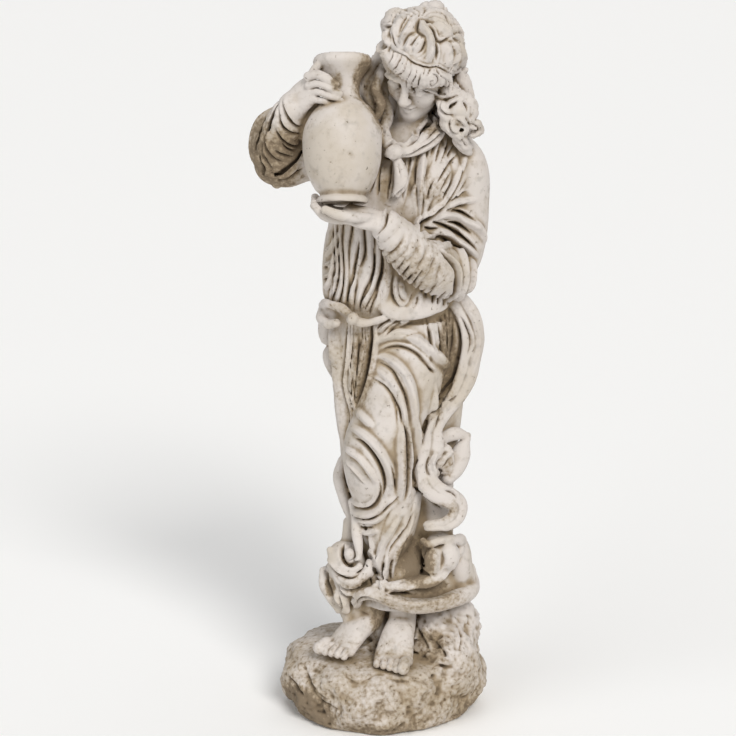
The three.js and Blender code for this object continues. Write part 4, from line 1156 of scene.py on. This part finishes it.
# The jug
jug = {
    "foot": (-46, -80, 627),
    "lean": 18,
    "profile": [  # height above the foot, and radius
        [0, 27], [3, 27.5], [7, 25.5], [14, 30], [26, 36.5], [42, 41.5], [60, 43.5], [86, 41], [103, 32],
        [114, 21.5], [123, 18], [131, 19], [139, 22.5], [147, 28], [153, 31.5], [157, 31.5], [160, 29],
        [161, 26],
    ],
    "mouth": [[119, 12], [141, 13], [153, 17], [158, 23], [165, 29]],
    "halfWide": 46,
    "tall": (-4, 174),
    "step": 0.5,
}


def carveJug():
    place = Matrix.Translation(jug["foot"]) @ Matrix.Rotation(-math.radians(jug["lean"]), 4, "X")
    for profile, lay, soft in ((jug["profile"], layOn, 1.2), (jug["mouth"], cutAway, 1.0)):
        sides = (-jug["halfWide"], jug["halfWide"])
        corners = [place @ Vector((x, y, z)) for x in sides for y in sides for z in jug["tall"]]
        spans, x, y, z = window(np.min(corners, axis=0), np.max(corners, axis=0))
        back = np.array(place.inverted())
        px, py, pz = (back[k, 0] * x + back[k, 1] * y + back[k, 2] * z + back[k, 3] for k in range(3))
        heights = np.arange(profile[0][0], profile[-1][0] + jug["step"], jug["step"])
        radii = smoothRows(profile, heights).ravel()
        radius, slope = (np.interp(pz, heights, values) for values in (radii, np.gradient(radii, heights)))
        shape = (np.sqrt(px * px + py * py) - radius) / np.sqrt(1 + slope * slope)
        shape = np.maximum(shape, np.maximum(heights[0] - pz, pz - heights[-1]))
        lay(spans, shape.astype(np.float32), soft)


# The head, worked upright about the middle of the skull, then bowed and turned to the jug
head = {"skull": (40, -36, 780), "turn": -30, "bow": 36, "tilt": 13}
headPlace = (
    Matrix.Translation(head["skull"])
    @ Matrix.Rotation(math.radians(head["turn"]), 4, "Z")
    @ Matrix.Rotation(math.radians(head["bow"]), 4, "X")
    @ Matrix.Rotation(math.radians(head["tilt"]), 4, "Y")
)


face = {  # lumps are centre, radii and softness, and ridges are path, sizes and softness
    "skull": [(0, 2, 4), (38, 44, 43), 6],
    "jaw": [(0, -17, -26), (27, 27, 33), 10],
    "chin": [(0, -38, -48), (10, 9, 9), 8],
    # of the left half, whose mirror is the right half
    "socket": [(15, -41, -6), (9, 6, 7), 3],
    "eye": [(15, -36, -7), (7.5, 6, 5.5), 2],
    "cheek": [(16, -29, -22), (11, 12, 12), 8],
    "brow": [[(6, -42, 3), (15, -42, 5), (24, -36, 1)], [2.4, 2.8, 2], 4],
    "lid": [[(8, -40, -9), (15, -42.5, -11), (22, -38, -8)], [1, 1.3, 1], 1],
    "nostril": [(3.6, -47, -21), (3.2, 3.4, 2.8), 2],
    # across the middle
    "nose": [[(0, -40, 4), (0, -45, -8), (0, -51, -19)], [3, 3.6, 4.6], 4],
    "upperLip": [
        [(-9, -40, -34), (-3, -44.5, -32), (0, -44, -33), (3, -44.5, -32), (9, -40, -34)],
        [1.2, 2.4, 2.2, 2.4, 1.2],
        2,
    ],
    "lowerLip": [[(-8, -40, -36), (0, -44, -39), (8, -40, -36)], [1.4, 3.2, 1.4], 2],
    "mouth": [[(-10, -41, -34.5), (0, -46, -35.5), (10, -41, -34.5)], [0.6, 0.9, 0.6], 1],
}


def carveFace():
    def lump(name, side=1, cut=False):
        (x, y, z), radii, soft = face[name]
        egg((side * x, y, z), radii, soft=soft, within=headPlace, cut=cut)

    def ridge(name, side=1, cut=False):
        path, sizes, soft = face[name]
        limb([(side * x, y, z) for x, y, z in path], sizes, soft=soft, within=headPlace, cut=cut)

    lump("skull")
    lump("jaw")
    lump("chin")
    for side in (-1, 1):
        lump("socket", side, cut=True)
        lump("eye", side)
        lump("cheek", side)
        ridge("brow", side)
        ridge("lid", side)
        lump("nostril", side)
    ridge("nose")
    ridge("upperLip")
    ridge("lowerLip")
    ridge("mouth", cut=True)


# The hair: a combed cap with locks and a band, a fringe, curls down to her neck, a twist behind
hair = {
    "combed": [(-20, -100, 716), (98, 46, 850)],
    "locks": (9, 2.4),  # how many in half a turn, and how high they stand
    "strands": (31, 0.8),
    "beside": {"low": (-20, -100, 740), "high": (98, 10, 850), "gap": 4.2, "depth": 0.5, "reach": 22},
    "half": [(4, 6, 9), (41, 47, 41), 4],  # of the cap: centre, radii and how far it is turned out
    "nape": [(0, 22, -16), (37, 28, 34)],
    "crown": [(0, 42, 4), (22, 13, 18)],
    "twist": [
        [(-14, 50, 8), (-6, 55, 14), (8, 54, 12), (14, 53, 2), (4, 56, -5), (-6, 55, 0)],
        [5, 6, 7, 6, 5, 4],
    ],
    "fringe": [
        [(2, -62, 787), (9, -69, 781), (20, -75, 774), (32, -78, 768), (44, -77, 764), (56, -71, 763),
         (66, -62, 761)],
        [(5, 5), (8, 6), (10, 7), (11, 8), (11, 8), (10, 8), (8, 7)],
    ],
    # the waved locks of the crown
    "folds": [
        [16, 3, [(24, 829), (14, 820), (10, 808)]],
        [12, 4, [(34, 828), (28, 818), (22, 808), (18, 800)]],
        [9, 3, [(31, 808), (26, 800), (24, 794)]],
        [10, 3, [(40, 806), (35, 799), (33, 793)]],
        [11, 5, [(41, 825), (42, 817), (48, 810), (51, 800), (50, 790), (46, 782)]],
        [16, 4, [(56, 822), (66, 814), (72, 808)]],
        [14, 4, [(64, 800), (70, 790), (68, 776)]],
        [12, 4, [(81, 804), (84, 788), (84, 768), (82, 752)]],
        [9, 4, [(4, 812), (2, 804), (6, 797)]],
        [8, 4, [(-4, 800), (-6, 792), (-2, 786)]],
        [12, 4, [(74, 800), (78, 790), (76, 778)]],
    ],
    "creases": [
        # between the locks of the crown
        [2.5, 4, [(40, 827), (37, 823), (36, 818), (36, 814), (39, 811), (44, 808)]],
        [1.8, 3, [(35, 813), (30, 812), (25, 808), (22, 803), (20, 798)]],
        [1.4, 2, [(37, 810), (32, 804), (28, 800), (24, 797)]],
        [1.4, 2, [(41, 809), (37, 802), (32, 796), (29, 792)]],
        [1.8, 3, [(44, 808), (43, 803), (41, 798), (38, 793), (34, 791)]],
        [2, 3, [(21, 832), (12, 824), (7, 812)]],
        [2, 3, [(62, 832), (68, 824), (72, 815)]],
        # the band line, the short locks under it with their ends over the brow, and more on the crown
        [1.2, 2.4, [(6, 795), (11, 792), (18, 790), (25, 787), (30, 782), (37, 779), (43, 777), (49, 776),
                    (56, 777), (63, 773), (69, 768), (74, 764)]],
        [2, 3.2, [(10, 791), (9, 787), (7, 782), (4, 776)]],
        [2, 3.2, [(18, 789), (17, 785), (15, 781), (12, 776), (8, 772)]],
        [2, 3.2, [(24, 785), (22, 778), (20, 771), (15, 768), (10, 767)]],
        [1.4, 2.5, [(28, 781), (29, 773), (27, 767), (24, 761), (25, 753), (30, 747)]],
        [1.4, 3, [(34, 776), (34, 768), (31, 760), (33, 752), (38, 748)]],
        [1.6, 3, [(40, 772), (38, 764), (37, 758), (40, 753), (45, 751)]],
        [1.6, 3, [(53, 761), (50, 763), (48, 759), (51, 755), (56, 757), (58, 763), (54, 768), (47, 769)]],
        [2, 3, [(63, 765), (67, 760), (66, 755), (62, 748)]],
        [2, 3, [(36, 749), (42, 749), (48, 746), (53, 744)]],
        [1.4, 2, [(43, 776), (43, 771), (41, 766)]],
        [1.6, 2.5, [(49, 775), (47, 771), (44, 766)]],
        [1.6, 2.5, [(56, 775), (57, 771), (61, 766), (66, 762)]],
        [2, 3, [(79, 755), (74, 750), (73, 743)]],
        [2, 3, [(85, 768), (79, 761), (73, 762)]],
        [2, 3, [(27, 831), (25, 827), (22, 823), (18, 817), (16, 811)]],
        [2, 3, [(9, 813), (9, 806), (11, 801), (14, 796)]],
        [2, 3, [(-1, 814), (4, 816), (9, 817)]],
        [2.5, 4, [(-1, 808), (-1, 801), (-1, 795)]],
        [2.5, 4, [(7, 798), (4, 793), (0, 789), (-4, 785)]],
        [3, 3, [(37, 826), (45, 825), (53, 823)]],
        [2.5, 4, [(48, 819), (53, 813), (55, 807), (58, 803), (62, 803), (66, 805), (70, 807), (75, 808)]],
        [2, 3, [(72, 807), (79, 802)]],
        [2.5, 4, [(55, 806), (56, 799), (57, 792), (56, 783)]],
        [2, 3, [(76, 793), (72, 786), (74, 782)]],
        [2.5, 4, [(70, 768), (75, 776), (78, 780), (82, 786)]],
        [2.5, 4, [(77, 819), (82, 811), (84, 807), (86, 800)]],
        [2.5, 4, [(67, 764), (70, 759), (71, 752), (70, 744)]],
        [2, 3, [(79, 761), (76, 755), (76, 747)]],
        # between the curls beside her neck
        [3, 5, [(53, 735), (54, 725), (58, 714), (65, 707), (72, 697), (78, 691), (83, 686), (90, 675)]],
        [2.5, 4, [(73, 717), (72, 708), (75, 702), (81, 699)]],
        [2.5, 4, [(93, 711), (98, 708), (102, 706), (104, 701), (100, 697), (93, 696)]],
        [2, 3, [(82, 698), (88, 688), (93, 679)]],
        [2.5, 5, [(69, 727), (73, 731), (81, 736)]],
        [2, 3.5, [(66, 738), (62, 733), (63, 726), (68, 721), (75, 721)]],
        [2.5, 4, [(53, 744), (59, 738), (66, 737), (75, 740), (85, 742)]],
        [2, 3, [(84, 737), (90, 730), (91, 721)]],
        [2, 3, [(79, 716), (85, 711), (89, 706)]],
        [2, 3, [(88, 719), (92, 713), (96, 706)]],
    ],
    "curls": [  # free ones beside the neck and down the back
        [[(70, -42, 744), (78, -42, 730), (82, -42, 716), (84, -42, 704)], [10, 15, 15, 10]],
        [[(62, -46, 736), (67, -50, 726), (70, -50, 716), (74, -50, 706), (82, -48, 698)], [6, 8, 8, 8, 6]],
        [[(84, -44, 738), (92, -42, 730), (94, -40, 718), (92, -40, 708)], [7, 9, 9, 7]],
        [[(92, -40, 708), (99, -38, 706), (103, -36, 700), (98, -38, 696)], [5, 7, 6, 4]],
        [[(80, -42, 700), (85, -34, 688), (91, -24, 677), (95, -16, 668)], [6, 8, 7, 4]],
        [[(72, -26, 742), (82, -24, 722), (78, -28, 704), (86, -24, 690)], [12, 13, 12, 8]],
        [[(22, 8, 760), (12, 18, 738), (20, 22, 716), (14, 24, 694)], [11, 12, 11, 6]],
        [[(46, 8, 762), (40, 20, 738), (48, 24, 714), (40, 28, 686)], [12, 13, 12, 6]],
        [[(72, 0, 760), (68, 14, 736), (76, 16, 714), (70, 20, 690)], [12, 13, 12, 6]],
        [[(84, -12, 758), (90, -16, 736), (88, -20, 714), (94, -16, 698)], [8, 9, 8, 5]],
        [[(0, -18, 764), (-9, -22, 750), (-14, -26, 734), (-10, -30, 716)], [9, 10, 9, 6]],
        [[(-4, -14, 778), (-14, -16, 766), (-19, -18, 750), (-17, -22, 733), (-14, -26, 718)],
         [6, 8, 8, 8, 5]],
        [[(4, -20, 752), (-2, -26, 734), (4, -30, 718), (0, -34, 702), (4, -40, 690)], [7, 7, 6, 6, 3]],
        [[(-4, -34, 762), (-9, -38, 746), (-4, -42, 730), (-8, -44, 716)], [4, 5, 5, 3]],
    ],
    "masses": [[(15, -24, 812), (18, 22, 20)], [(54, 4, 826), (15, 16, 11)]],
    "hollows": [[(85, -52, 702), (4, 7, 2.6)]],
}


def combHair():
    # Broad wavy locks and the finer strands in them, from the crown outwards over the back and sides
    spans, x, y, z = window(*hair["combed"])
    back = np.array(headPlace.inverted(), np.float32)
    px, py, pz = (back[k, 0] * x + back[k, 1] * y + back[k, 2] * z + back[k, 3] for k in range(3))
    turn = np.arctan2(px, -py)
    rise = np.arctan2(pz - 8, np.sqrt(px * px + py * py))
    hairy = 1 - ease(0.25, 0.6, -np.sin(rise) + 0.35 * np.cos(turn))
    around = hairy * ease(0, 0.5, np.cos(rise)) * ease(-0.2, 0.5, -np.cos(turn))
    wander = 0.16 * np.sin(5 * rise + 2 * turn) + 0.07 * np.sin(11 * rise - 3 * turn)
    count, height = hair["locks"]
    locks = height * pillow(count * (turn + wander))
    count, height = hair["strands"]
    strands = height * pillow(count * (turn + 1.3 * wander))
    clay[spans] -= ((locks + strands) * around).astype(np.float32)


def combBeside(paths, low, high, gap, depth, reach):  # fine strands that run beside the nearest path
    laid = [layPath(path)[0] for path in paths]
    tree = KDTree(sum(len(points) for points in laid))
    for number, point in enumerate(np.concatenate(laid)):
        tree.insert(point, number)
    tree.balance()
    spans, x, y, z = window(low, high)
    here = clay[spans]
    for i, j, k in np.argwhere(np.abs(here) < block["band"]):
        far = tree.find((x[i, 0, 0], y[0, j, 0], z[0, 0, k]))[2]
        here[i, j, k] += depth * math.cos(2 * math.pi * far / gap) * max(1 - far / reach, 0)


def carveHair():
    (out, back, up), radii, turnedOut = hair["half"]
    for side in (-1, 1):
        egg((side * out, back, up), radii, (0, side * turnedOut, 0), soft=3, within=headPlace)
    egg(*hair["nape"], soft=6, within=headPlace)
    egg(*hair["crown"], soft=5, within=headPlace)
    for centre, radii in hair["masses"]:
        egg(centre, radii, soft=6)
    combHair()
    limb(*hair["twist"], soft=1.5, within=headPlace)
    limb(*hair["fringe"], (0, -1, -0.4), soft=4)

    def strands(run, turn):  # strands that wind round a curl
        return 1.2 * pillow(1.5 * turn + 11 * run)

    for path, sizes in hair["curls"]:
        limb(path, sizes, soft=1.5, relief=strands)
    for centre, radii in hair["hollows"]:
        egg(centre, radii, soft=1, cut=True)
    carveStrokes(hair)
    combBeside([path for _, _, path in hair["creases"]], **hair["beside"])


# Casting: the mesh is drawn from the clay, and its hollows are measured
def stainsAndShadeAt(points):  # 1 in the middle of a thick patch of stain and painted shade, 0 well away from all of them
    total = np.zeros(len(points))
    for middle, radii, strength in stone["stainsAndShade"]:
        far = np.linalg.norm((points - middle) / radii, axis=1)
        total = np.maximum(total, strength * (1 - ease(0.35, 1.25, far)))
    return total


def hollowness(points, width):
    # How much more clay than air lies within a width of each point: 0 on a flat, 1 deep in a crease
    skip = max(int(width / block["voxel"] / 4), 1)
    coarse = np.clip(clay[::skip, ::skip, ::skip] / width, -1, 1)
    half = max(int(round(width / block["voxel"] / skip / 2)), 1)
    mean = runningMean(coarse, half)
    return -readField(mean, block["voxel"] * skip, points)


def castMesh():
    grid = openvdb.FloatGrid(block["reach"])
    grid.gridClass = openvdb.GridClass.LEVEL_SET
    grid.copyFromArray(np.clip(clay, -block["band"], block["band"]))
    points, triangles, quads = grid.convertToPolygons(isovalue=0.0, adaptivity=0.0)
    points = points * block["voxel"] + np.array([axis[0] for axis in axes])
    mesh = bpy.data.meshes.new("statueCast")
    mesh.from_pydata(points.tolist(), [], np.concatenate([quads]).tolist() + triangles.tolist())
    mesh.flip_normals()
    return mesh


def slimMesh(mesh, triangles):
    thing = bpy.data.objects.new("statueCast", mesh)
    bpy.context.scene.collection.objects.link(thing)
    slim = thing.modifiers.new("slim", "DECIMATE")
    slim.ratio = triangles / (2 * len(mesh.polygons))
    slim.use_collapse_triangulate = True
    evaluated = thing.evaluated_get(bpy.context.evaluated_depsgraph_get())
    slimmed = bpy.data.meshes.new_from_object(evaluated)
    bpy.data.objects.remove(thing)
    return slimmed


def keepLargest(mesh):  # drops any crumb that floats free of the figure, and says how many pieces there were
    work = bmesh.new()
    work.from_mesh(mesh)
    left = set(work.verts)
    pieces = []
    while left:
        first = left.pop()
        piece, edge = [first], [first]
        while edge:
            vertex = edge.pop()
            for link in vertex.link_edges:
                other = link.other_vert(vertex)
                if other in left:
                    left.remove(other)
                    piece.append(other)
                    edge.append(other)
        pieces.append(piece)
    pieces.sort(key=len)
    for piece in pieces[:-1]:
        bmesh.ops.delete(work, geom=piece, context="VERTS")
    work.to_mesh(mesh)
    work.free()
    return len(pieces)


# The cast stone: pale, with a brown wash left in every hollow, tan stains with painted shade among them,
# pits and a fine grain
stone = {
    "pale": (0.64, 0.59, 0.55),
    "cream": (0.56, 0.50, 0.43),
    "tan": (0.33, 0.25, 0.155),
    "umber": (0.17, 0.125, 0.08),
    "brown": (0.035, 0.024, 0.014),
    "grey": (0.36, 0.335, 0.305),
    "stainsAndShade": [  # where the wash was left thick, and where shade is painted on as wash: middle, radii, how thick
        [(0, 0, 420), (400, 400, 900), 0.12],
        # the rock, darker towards its foot
        [(0, 0, 30), (230, 210, 95), 0.54],
        [(46, -54, 104), (13, 24, 24), 0.9],
        # painted shade down the skirt on her right side
        [(-54, -24, 420), (26, 50, 100), 0.3],
        # darkens her left forearm
        [(40, -80, 560), (56, 50, 50), 0.38],
        # painted shade under the jug's flared lip, over its patina
        [(-53, -62, 757), (9, 20, 13), 0.9],
        # painted shade on her right sleeve and elbow, over the wash there
        [(-112, -30, 682), (28, 44, 42), 1.0],
        [(-125, -20, 670), (46, 54, 66), 0.9],
        # painted shadow of her head on the jug's neck
        [(-20, -50, 756), (18, 28, 36), 1.0],
        [(40, -60, 154), (90, 34, 26), 0.5],
        [(26, -60, 545), (44, 24, 30), 0.55],
        # painted shade between the jug's neck and her face, where the hair lies in shadow
        [(-4, -52, 728), (20, 30, 34), 1.0],
        [(52, -44, 706), (16, 20, 16), 0.6],
        [(0, -62, 645), (12, 20, 34), 0.7],
        [(52, -56, 636), (34, 24, 26), 0.45],
        [(24, -52, 545), (36, 24, 26), 0.55],
        [(-30, -46, 498), (40, 24, 14), 0.55],
        # painted shade in the valley between the skirt's flutes and her bent leg
        [(-25, -44, 430), (20, 22, 80), 0.62],
        [(72, -20, 440), (17, 30, 66), 1.0],
        [(58, -30, 375), (14, 24, 30), 0.7],
        [(26, -70, 330), (7, 20, 46), 0.6],
        [(72, -50, 312), (16, 20, 22), 0.5],
        [(66, -50, 262), (26, 20, 18), 0.6],
        [(38, -52, 200), (26, 30, 34), 1.5],
        [(-60, -30, 160), (9, 14, 18), 1.4],
        [(60, -60, 167), (32, 24, 12), 1.4],
        [(-28, -44, 168), (26, 22, 22), 0.7],
        [(-8, -36, 120), (12, 22, 26), 0.8],
        [(-14, -62, 84), (26, 24, 12), 0.7],
        [(56, -52, 92), (32, 30, 26), 0.7],
        [(36, -92, 76), (20, 20, 10), 0.6],
        # painted shade round the rock's lower rim, where it turns under
        [(-104, -66, 10), (66, 76, 42), 1.4],
        [(0, -112, 2), (130, 40, 22), 0.9],
        [(110, -60, 8), (50, 80, 26), 0.8],
        [(-10, -76, 68), (60, 14, 8), 0.5],
    ],
    "widths": {"crease": 5, "hollow": 12, "recess": 26},  # of the hollows that hold each wash, in mm
    "coats": [  # which mask, where on it the coat starts and is full, how strong it is, its colour
        ("mottle", 0.52, 0.75, 0.4, "grey"),
        ("thin", -0.07, 0.19, 0.88, "tan"),
        ("deep", 0.0, 0.27, 0.75, "tan"),
        # these two coats follow the stains, and so also paint shade where a stain stands for it
        ("dirtAndShade", 0.12, 0.75, 0.85, "tan"),
        ("dark", 0.5, 1.0, 0.75, "umber"),
        ("sharp", 0.05, 0.34, 0.85, "umber"),
        ("sharp", 0.24, 0.54, 0.85, "brown"),
        ("speckle", 0.68, 0.76, 0.5, "brown"),
    ],
    "noises": {  # size, detail and offset
        "wander": (14, 4, 0),
        "patches": (38, 4, 3.1),
        "mottle": (95, 4, 7.3),
        "speckle": (230, 2, 5.7),
        "fine": (900, 2, 9.2),
        "crust": (420, 3, 2.4),
    },
    "lines": {"bare": 0.75, "stainedAndShaded": 0.6, "added": 0.08},  # how dark a crease is, and more where the stains and painted shade lie
    "masks": {  # what each is made from, and the noises that break it up
        "thin": ("hollow", [("patches", 0.3), ("mottle", 0.15)]),
        "deep": ("recess", [("wander", 0.25), ("mottle", 0.2)]),
        # both follow the stains, shade painted in among them
        "dirtAndShade": ("stainAndShade", [("patches", 0.45), ("mottle", 0.45), ("speckle", 0.8)]),
        "dark": ("stainAndShade", [("mottle", 0.8), ("speckle", 1.7)]),
        "sharp": ("lines", [("mottle", 0.3)]),
    },
    "creamFrom": (0.45, 0.65),
    "roughness": (0.72, 0.92),
    "specular": 0.25,
    "pits": 260,
    "heights": {"fine": 0.35, "holes": 0.5, "crust": 1.6},
    "bump": (0.35, 0.001),  # its strength and depth
}


def measureWash(mesh):  # stores on each vertex how hollow the clay is there, and how stained, painted shade included
    places = np.zeros(len(mesh.vertices) * 3)
    mesh.vertices.foreach_get("co", places)
    places = places.reshape(-1, 3)
    washes = {name: hollowness(places, width) for name, width in stone["widths"].items()}
    # the stains, with painted shade among them
    washes["stainAndShade"] = stainsAndShadeAt(places)
    for name, values in washes.items():
        mesh.attributes.new(name, "FLOAT", "POINT").data.foreach_set("value", values.astype(np.float32))


def makeStone(name):
    material = bpy.data.materials.new(name)
    material.use_nodes = True
    nodes, links = material.node_tree.nodes, material.node_tree.links
    shader = nodes["Principled BSDF"]

    def feed(socket, value):
        if isinstance(value, bpy.types.NodeSocket):
            links.new(value, socket)
        elif isinstance(value, tuple):
            socket.default_value = (*value, 1) if len(socket.default_value) == 4 else value
        else:
            socket.default_value = value

    def maths(operation, first, second):
        node = nodes.new("ShaderNodeMath")
        node.operation = operation
        feed(node.inputs[0], first)
        feed(node.inputs[1], second)
        return node.outputs[0]

    def spread(value, low, high, smallest=0.0, largest=1.0):
        node = nodes.new("ShaderNodeMapRange")
        node.interpolation_type = "SMOOTHSTEP"
        for socket, number in zip(node.inputs, (value, low, high, smallest, largest)):
            feed(socket, number)
        return node.outputs[0]

    def mixed(share, first, second):
        node = nodes.new("ShaderNodeMix")
        node.data_type = "RGBA"
        feed(node.inputs[0], share)
        feed(node.inputs[6], first)
        feed(node.inputs[7], second)
        return node.outputs[2]

    def noise(name):
        size, detail, offset = stone["noises"][name]
        place = nodes.new("ShaderNodeMapping")
        links.new(where, place.inputs[0])
        place.inputs["Location"].default_value = (offset, offset * 0.7, offset * 0.3)
        node = nodes.new("ShaderNodeTexNoise")
        links.new(place.outputs[0], node.inputs["Vector"])
        node.inputs["Scale"].default_value = size
        node.inputs["Detail"].default_value = detail
        return node.outputs[0]

    def measured(attribute):
        node = nodes.new("ShaderNodeAttribute")
        node.attribute_name = attribute
        return node.outputs["Fac"]

    def jitter(value, cloudy, amount):  # breaks up an even field with a noise
        return maths("ADD", value, maths("MULTIPLY", maths("SUBTRACT", cloudy, 0.5), amount))

    where = nodes.new("ShaderNodeTexCoord").outputs["Object"]
    fields = {name: measured(name) for name in ("crease", "hollow", "recess", "stainAndShade")}
    fields.update({name: noise(name) for name in stone["noises"]})
    stainAndShade = fields["stainAndShade"]

    # thin and deep wash lie in the hollows, dirt and dark spots in the stains and in the painted shade,
    # and sharp lines in the creases
    lines = stone["lines"]
    strength = maths("ADD", maths("MULTIPLY", stainAndShade, lines["stainedAndShaded"]), lines["bare"])
    thick = maths("MULTIPLY", fields["crease"], strength)
    fields["lines"] = maths("ADD", thick, maths("MULTIPLY", stainAndShade, lines["added"]))
    for mask, (source, breaks) in stone["masks"].items():
        fields[mask] = fields[source]
        for cloudy, amount in breaks:
            fields[mask] = jitter(fields[mask], fields[cloudy], amount)
    base = mixed(spread(fields["wander"], *stone["creamFrom"]), stone["pale"], stone["cream"])
    for mask, low, high, strength, colour in stone["coats"]:
        base = mixed(maths("MULTIPLY", spread(fields[mask], low, high), strength), base, stone[colour])
    links.new(base, shader.inputs["Base Color"])
    links.new(spread(fields["patches"], 0.3, 0.7, *stone["roughness"]), shader.inputs["Roughness"])
    shader.inputs["Specular IOR Level"].default_value = stone["specular"]

    pits = nodes.new("ShaderNodeTexVoronoi")
    links.new(where, pits.inputs["Vector"])
    pits.inputs["Scale"].default_value = stone["pits"]
    holes = spread(pits.outputs["Distance"], 0.05, 0.25)
    holes = maths("MAXIMUM", holes, spread(fields["speckle"], 0.45, 0.62, 1, 0))
    heights = stone["heights"]
    fine = maths("MULTIPLY", fields["fine"], heights["fine"])
    grain = maths("ADD", fine, maths("MULTIPLY", holes, heights["holes"]))
    crust = maths("MULTIPLY", stainAndShade, fields["crust"])
    grain = maths("ADD", grain, maths("MULTIPLY", crust, heights["crust"]))
    bump = nodes.new("ShaderNodeBump")
    bump.inputs["Strength"].default_value, bump.inputs["Distance"].default_value = stone["bump"]
    links.new(grain, bump.inputs["Height"])
    links.new(bump.outputs[0], shader.inputs["Normal"])
    return material


# The studio
camera = {"place": (-0.018, -2.600, 1.1336), "pitch": -15.43, "lens": 114.1, "sensor": 36}
studio = {
    "floor": 14.0,
    "floorRoughness": 0.9,
    "floorColour": (0.96, 0.957, 0.95),
    "fill": 0.185,
    "suns": [  # way it shines from, strength, how wide it looks in degrees, colour
        ((0.36, -0.88, 0.78), 2.12, 24, (1.0, 0.985, 0.96)),
        ((-0.75, -0.65, 0.50), 0.85, 50, (0.96, 0.98, 1.0)),
        ((0.1, 0.2, 1.0), 0.75, 60, (1.0, 1.0, 1.0)),
    ],
}


def setCamera(scene):
    eye = bpy.data.cameras.new("studioCamera")
    eye.sensor_width = camera["sensor"]
    eye.lens = camera["lens"]
    viewer = bpy.data.objects.new("studioCamera", eye)
    viewer.location = camera["place"]
    viewer.rotation_euler = (math.radians(90 + camera["pitch"]), 0, 0)
    scene.collection.objects.link(viewer)
    scene.camera = viewer


def layFloor(scene):
    half = studio["floor"]
    mesh = bpy.data.meshes.new("studioFloor")
    corners = [(-half, -half, 0), (half, -half, 0), (half, half, 0), (-half, half, 0)]
    mesh.from_pydata(corners, [], [(0, 1, 2, 3)])
    floor = bpy.data.objects.new("studioFloor", mesh)
    scene.collection.objects.link(floor)
    paint = bpy.data.materials.new("floorPaint")
    paint.use_nodes = True
    inputs = paint.node_tree.nodes["Principled BSDF"].inputs
    inputs["Base Color"].default_value = (*studio["floorColour"], 1)
    inputs["Roughness"].default_value = studio["floorRoughness"]
    mesh.materials.append(paint)


def lightStudio(scene):  # a white world, seen as it is but dimmer as a light, and three wide suns
    world = bpy.data.worlds.new("studioWorld")
    scene.world = world
    world.use_nodes = True
    nodes, links = world.node_tree.nodes, world.node_tree.links
    seen = nodes.new("ShaderNodeLightPath")
    strength = nodes.new("ShaderNodeMapRange")
    links.new(seen.outputs["Is Camera Ray"], strength.inputs[0])
    strength.inputs["To Min"].default_value = studio["fill"]
    strength.inputs["To Max"].default_value = 1.0
    nodes["Background"].inputs[0].default_value = (1, 1, 1, 1)
    links.new(strength.outputs[0], nodes["Background"].inputs[1])

    for number, (way, strength, wide, colour) in enumerate(studio["suns"]):
        lamp = bpy.data.lights.new(f"studioLight{number}", "SUN")
        lamp.energy, lamp.angle, lamp.color = strength, math.radians(wide), colour
        holder = bpy.data.objects.new(lamp.name, lamp)
        holder.rotation_euler = Vector(way).to_track_quat("Z", "Y").to_euler()
        scene.collection.objects.link(holder)


def setStudio():
    scene = bpy.context.scene
    setCamera(scene)
    layFloor(scene)
    lightStudio(scene)
    scene.view_settings.view_transform = "Standard"


setStudio()
stage("studio")
carveRock()
stage("rock")
for footing in feet:
    carveFoot(**footing)
carveSkirt()
stage("skirt")
carveLeg()
carveScarf()
carveHip()
carveHem()
stage("drapery")
carveBlouse()
carveBelt()
stage("blouse")
carveNeck()
carveSleeves()
stage("sleeves")
carveJug()
for hand in hands:
    carveHand(**hand)
stage("jug and hands")
carveFace()
carveHair()
stage("head")
for width, amount in block["sharpen"]:
    sharpen(width, amount)
flattenUnderside()
stage("sharpened")
castStone = castMesh()
stage(f"drawn from the clay, {len(castStone.polygons)} faces")
statueMesh = slimMesh(castStone, block["triangles"])
pieceCount = keepLargest(statueMesh)
stage(f"slimmed to {len(statueMesh.polygons)} triangles, {pieceCount} pieces before the crumbs went")

measureWash(statueMesh)
statueMesh.transform(Matrix.Scale(scale, 4))
statueMesh.polygons.foreach_set("use_smooth", [True] * len(statueMesh.polygons))
statueMesh.materials.append(makeStone("castStone"))
figure = bpy.data.objects.new("waterCarrier", statueMesh)
bpy.context.scene.collection.objects.link(figure)
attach(figure, "root")
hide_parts("statue")
stage("measured and washed")
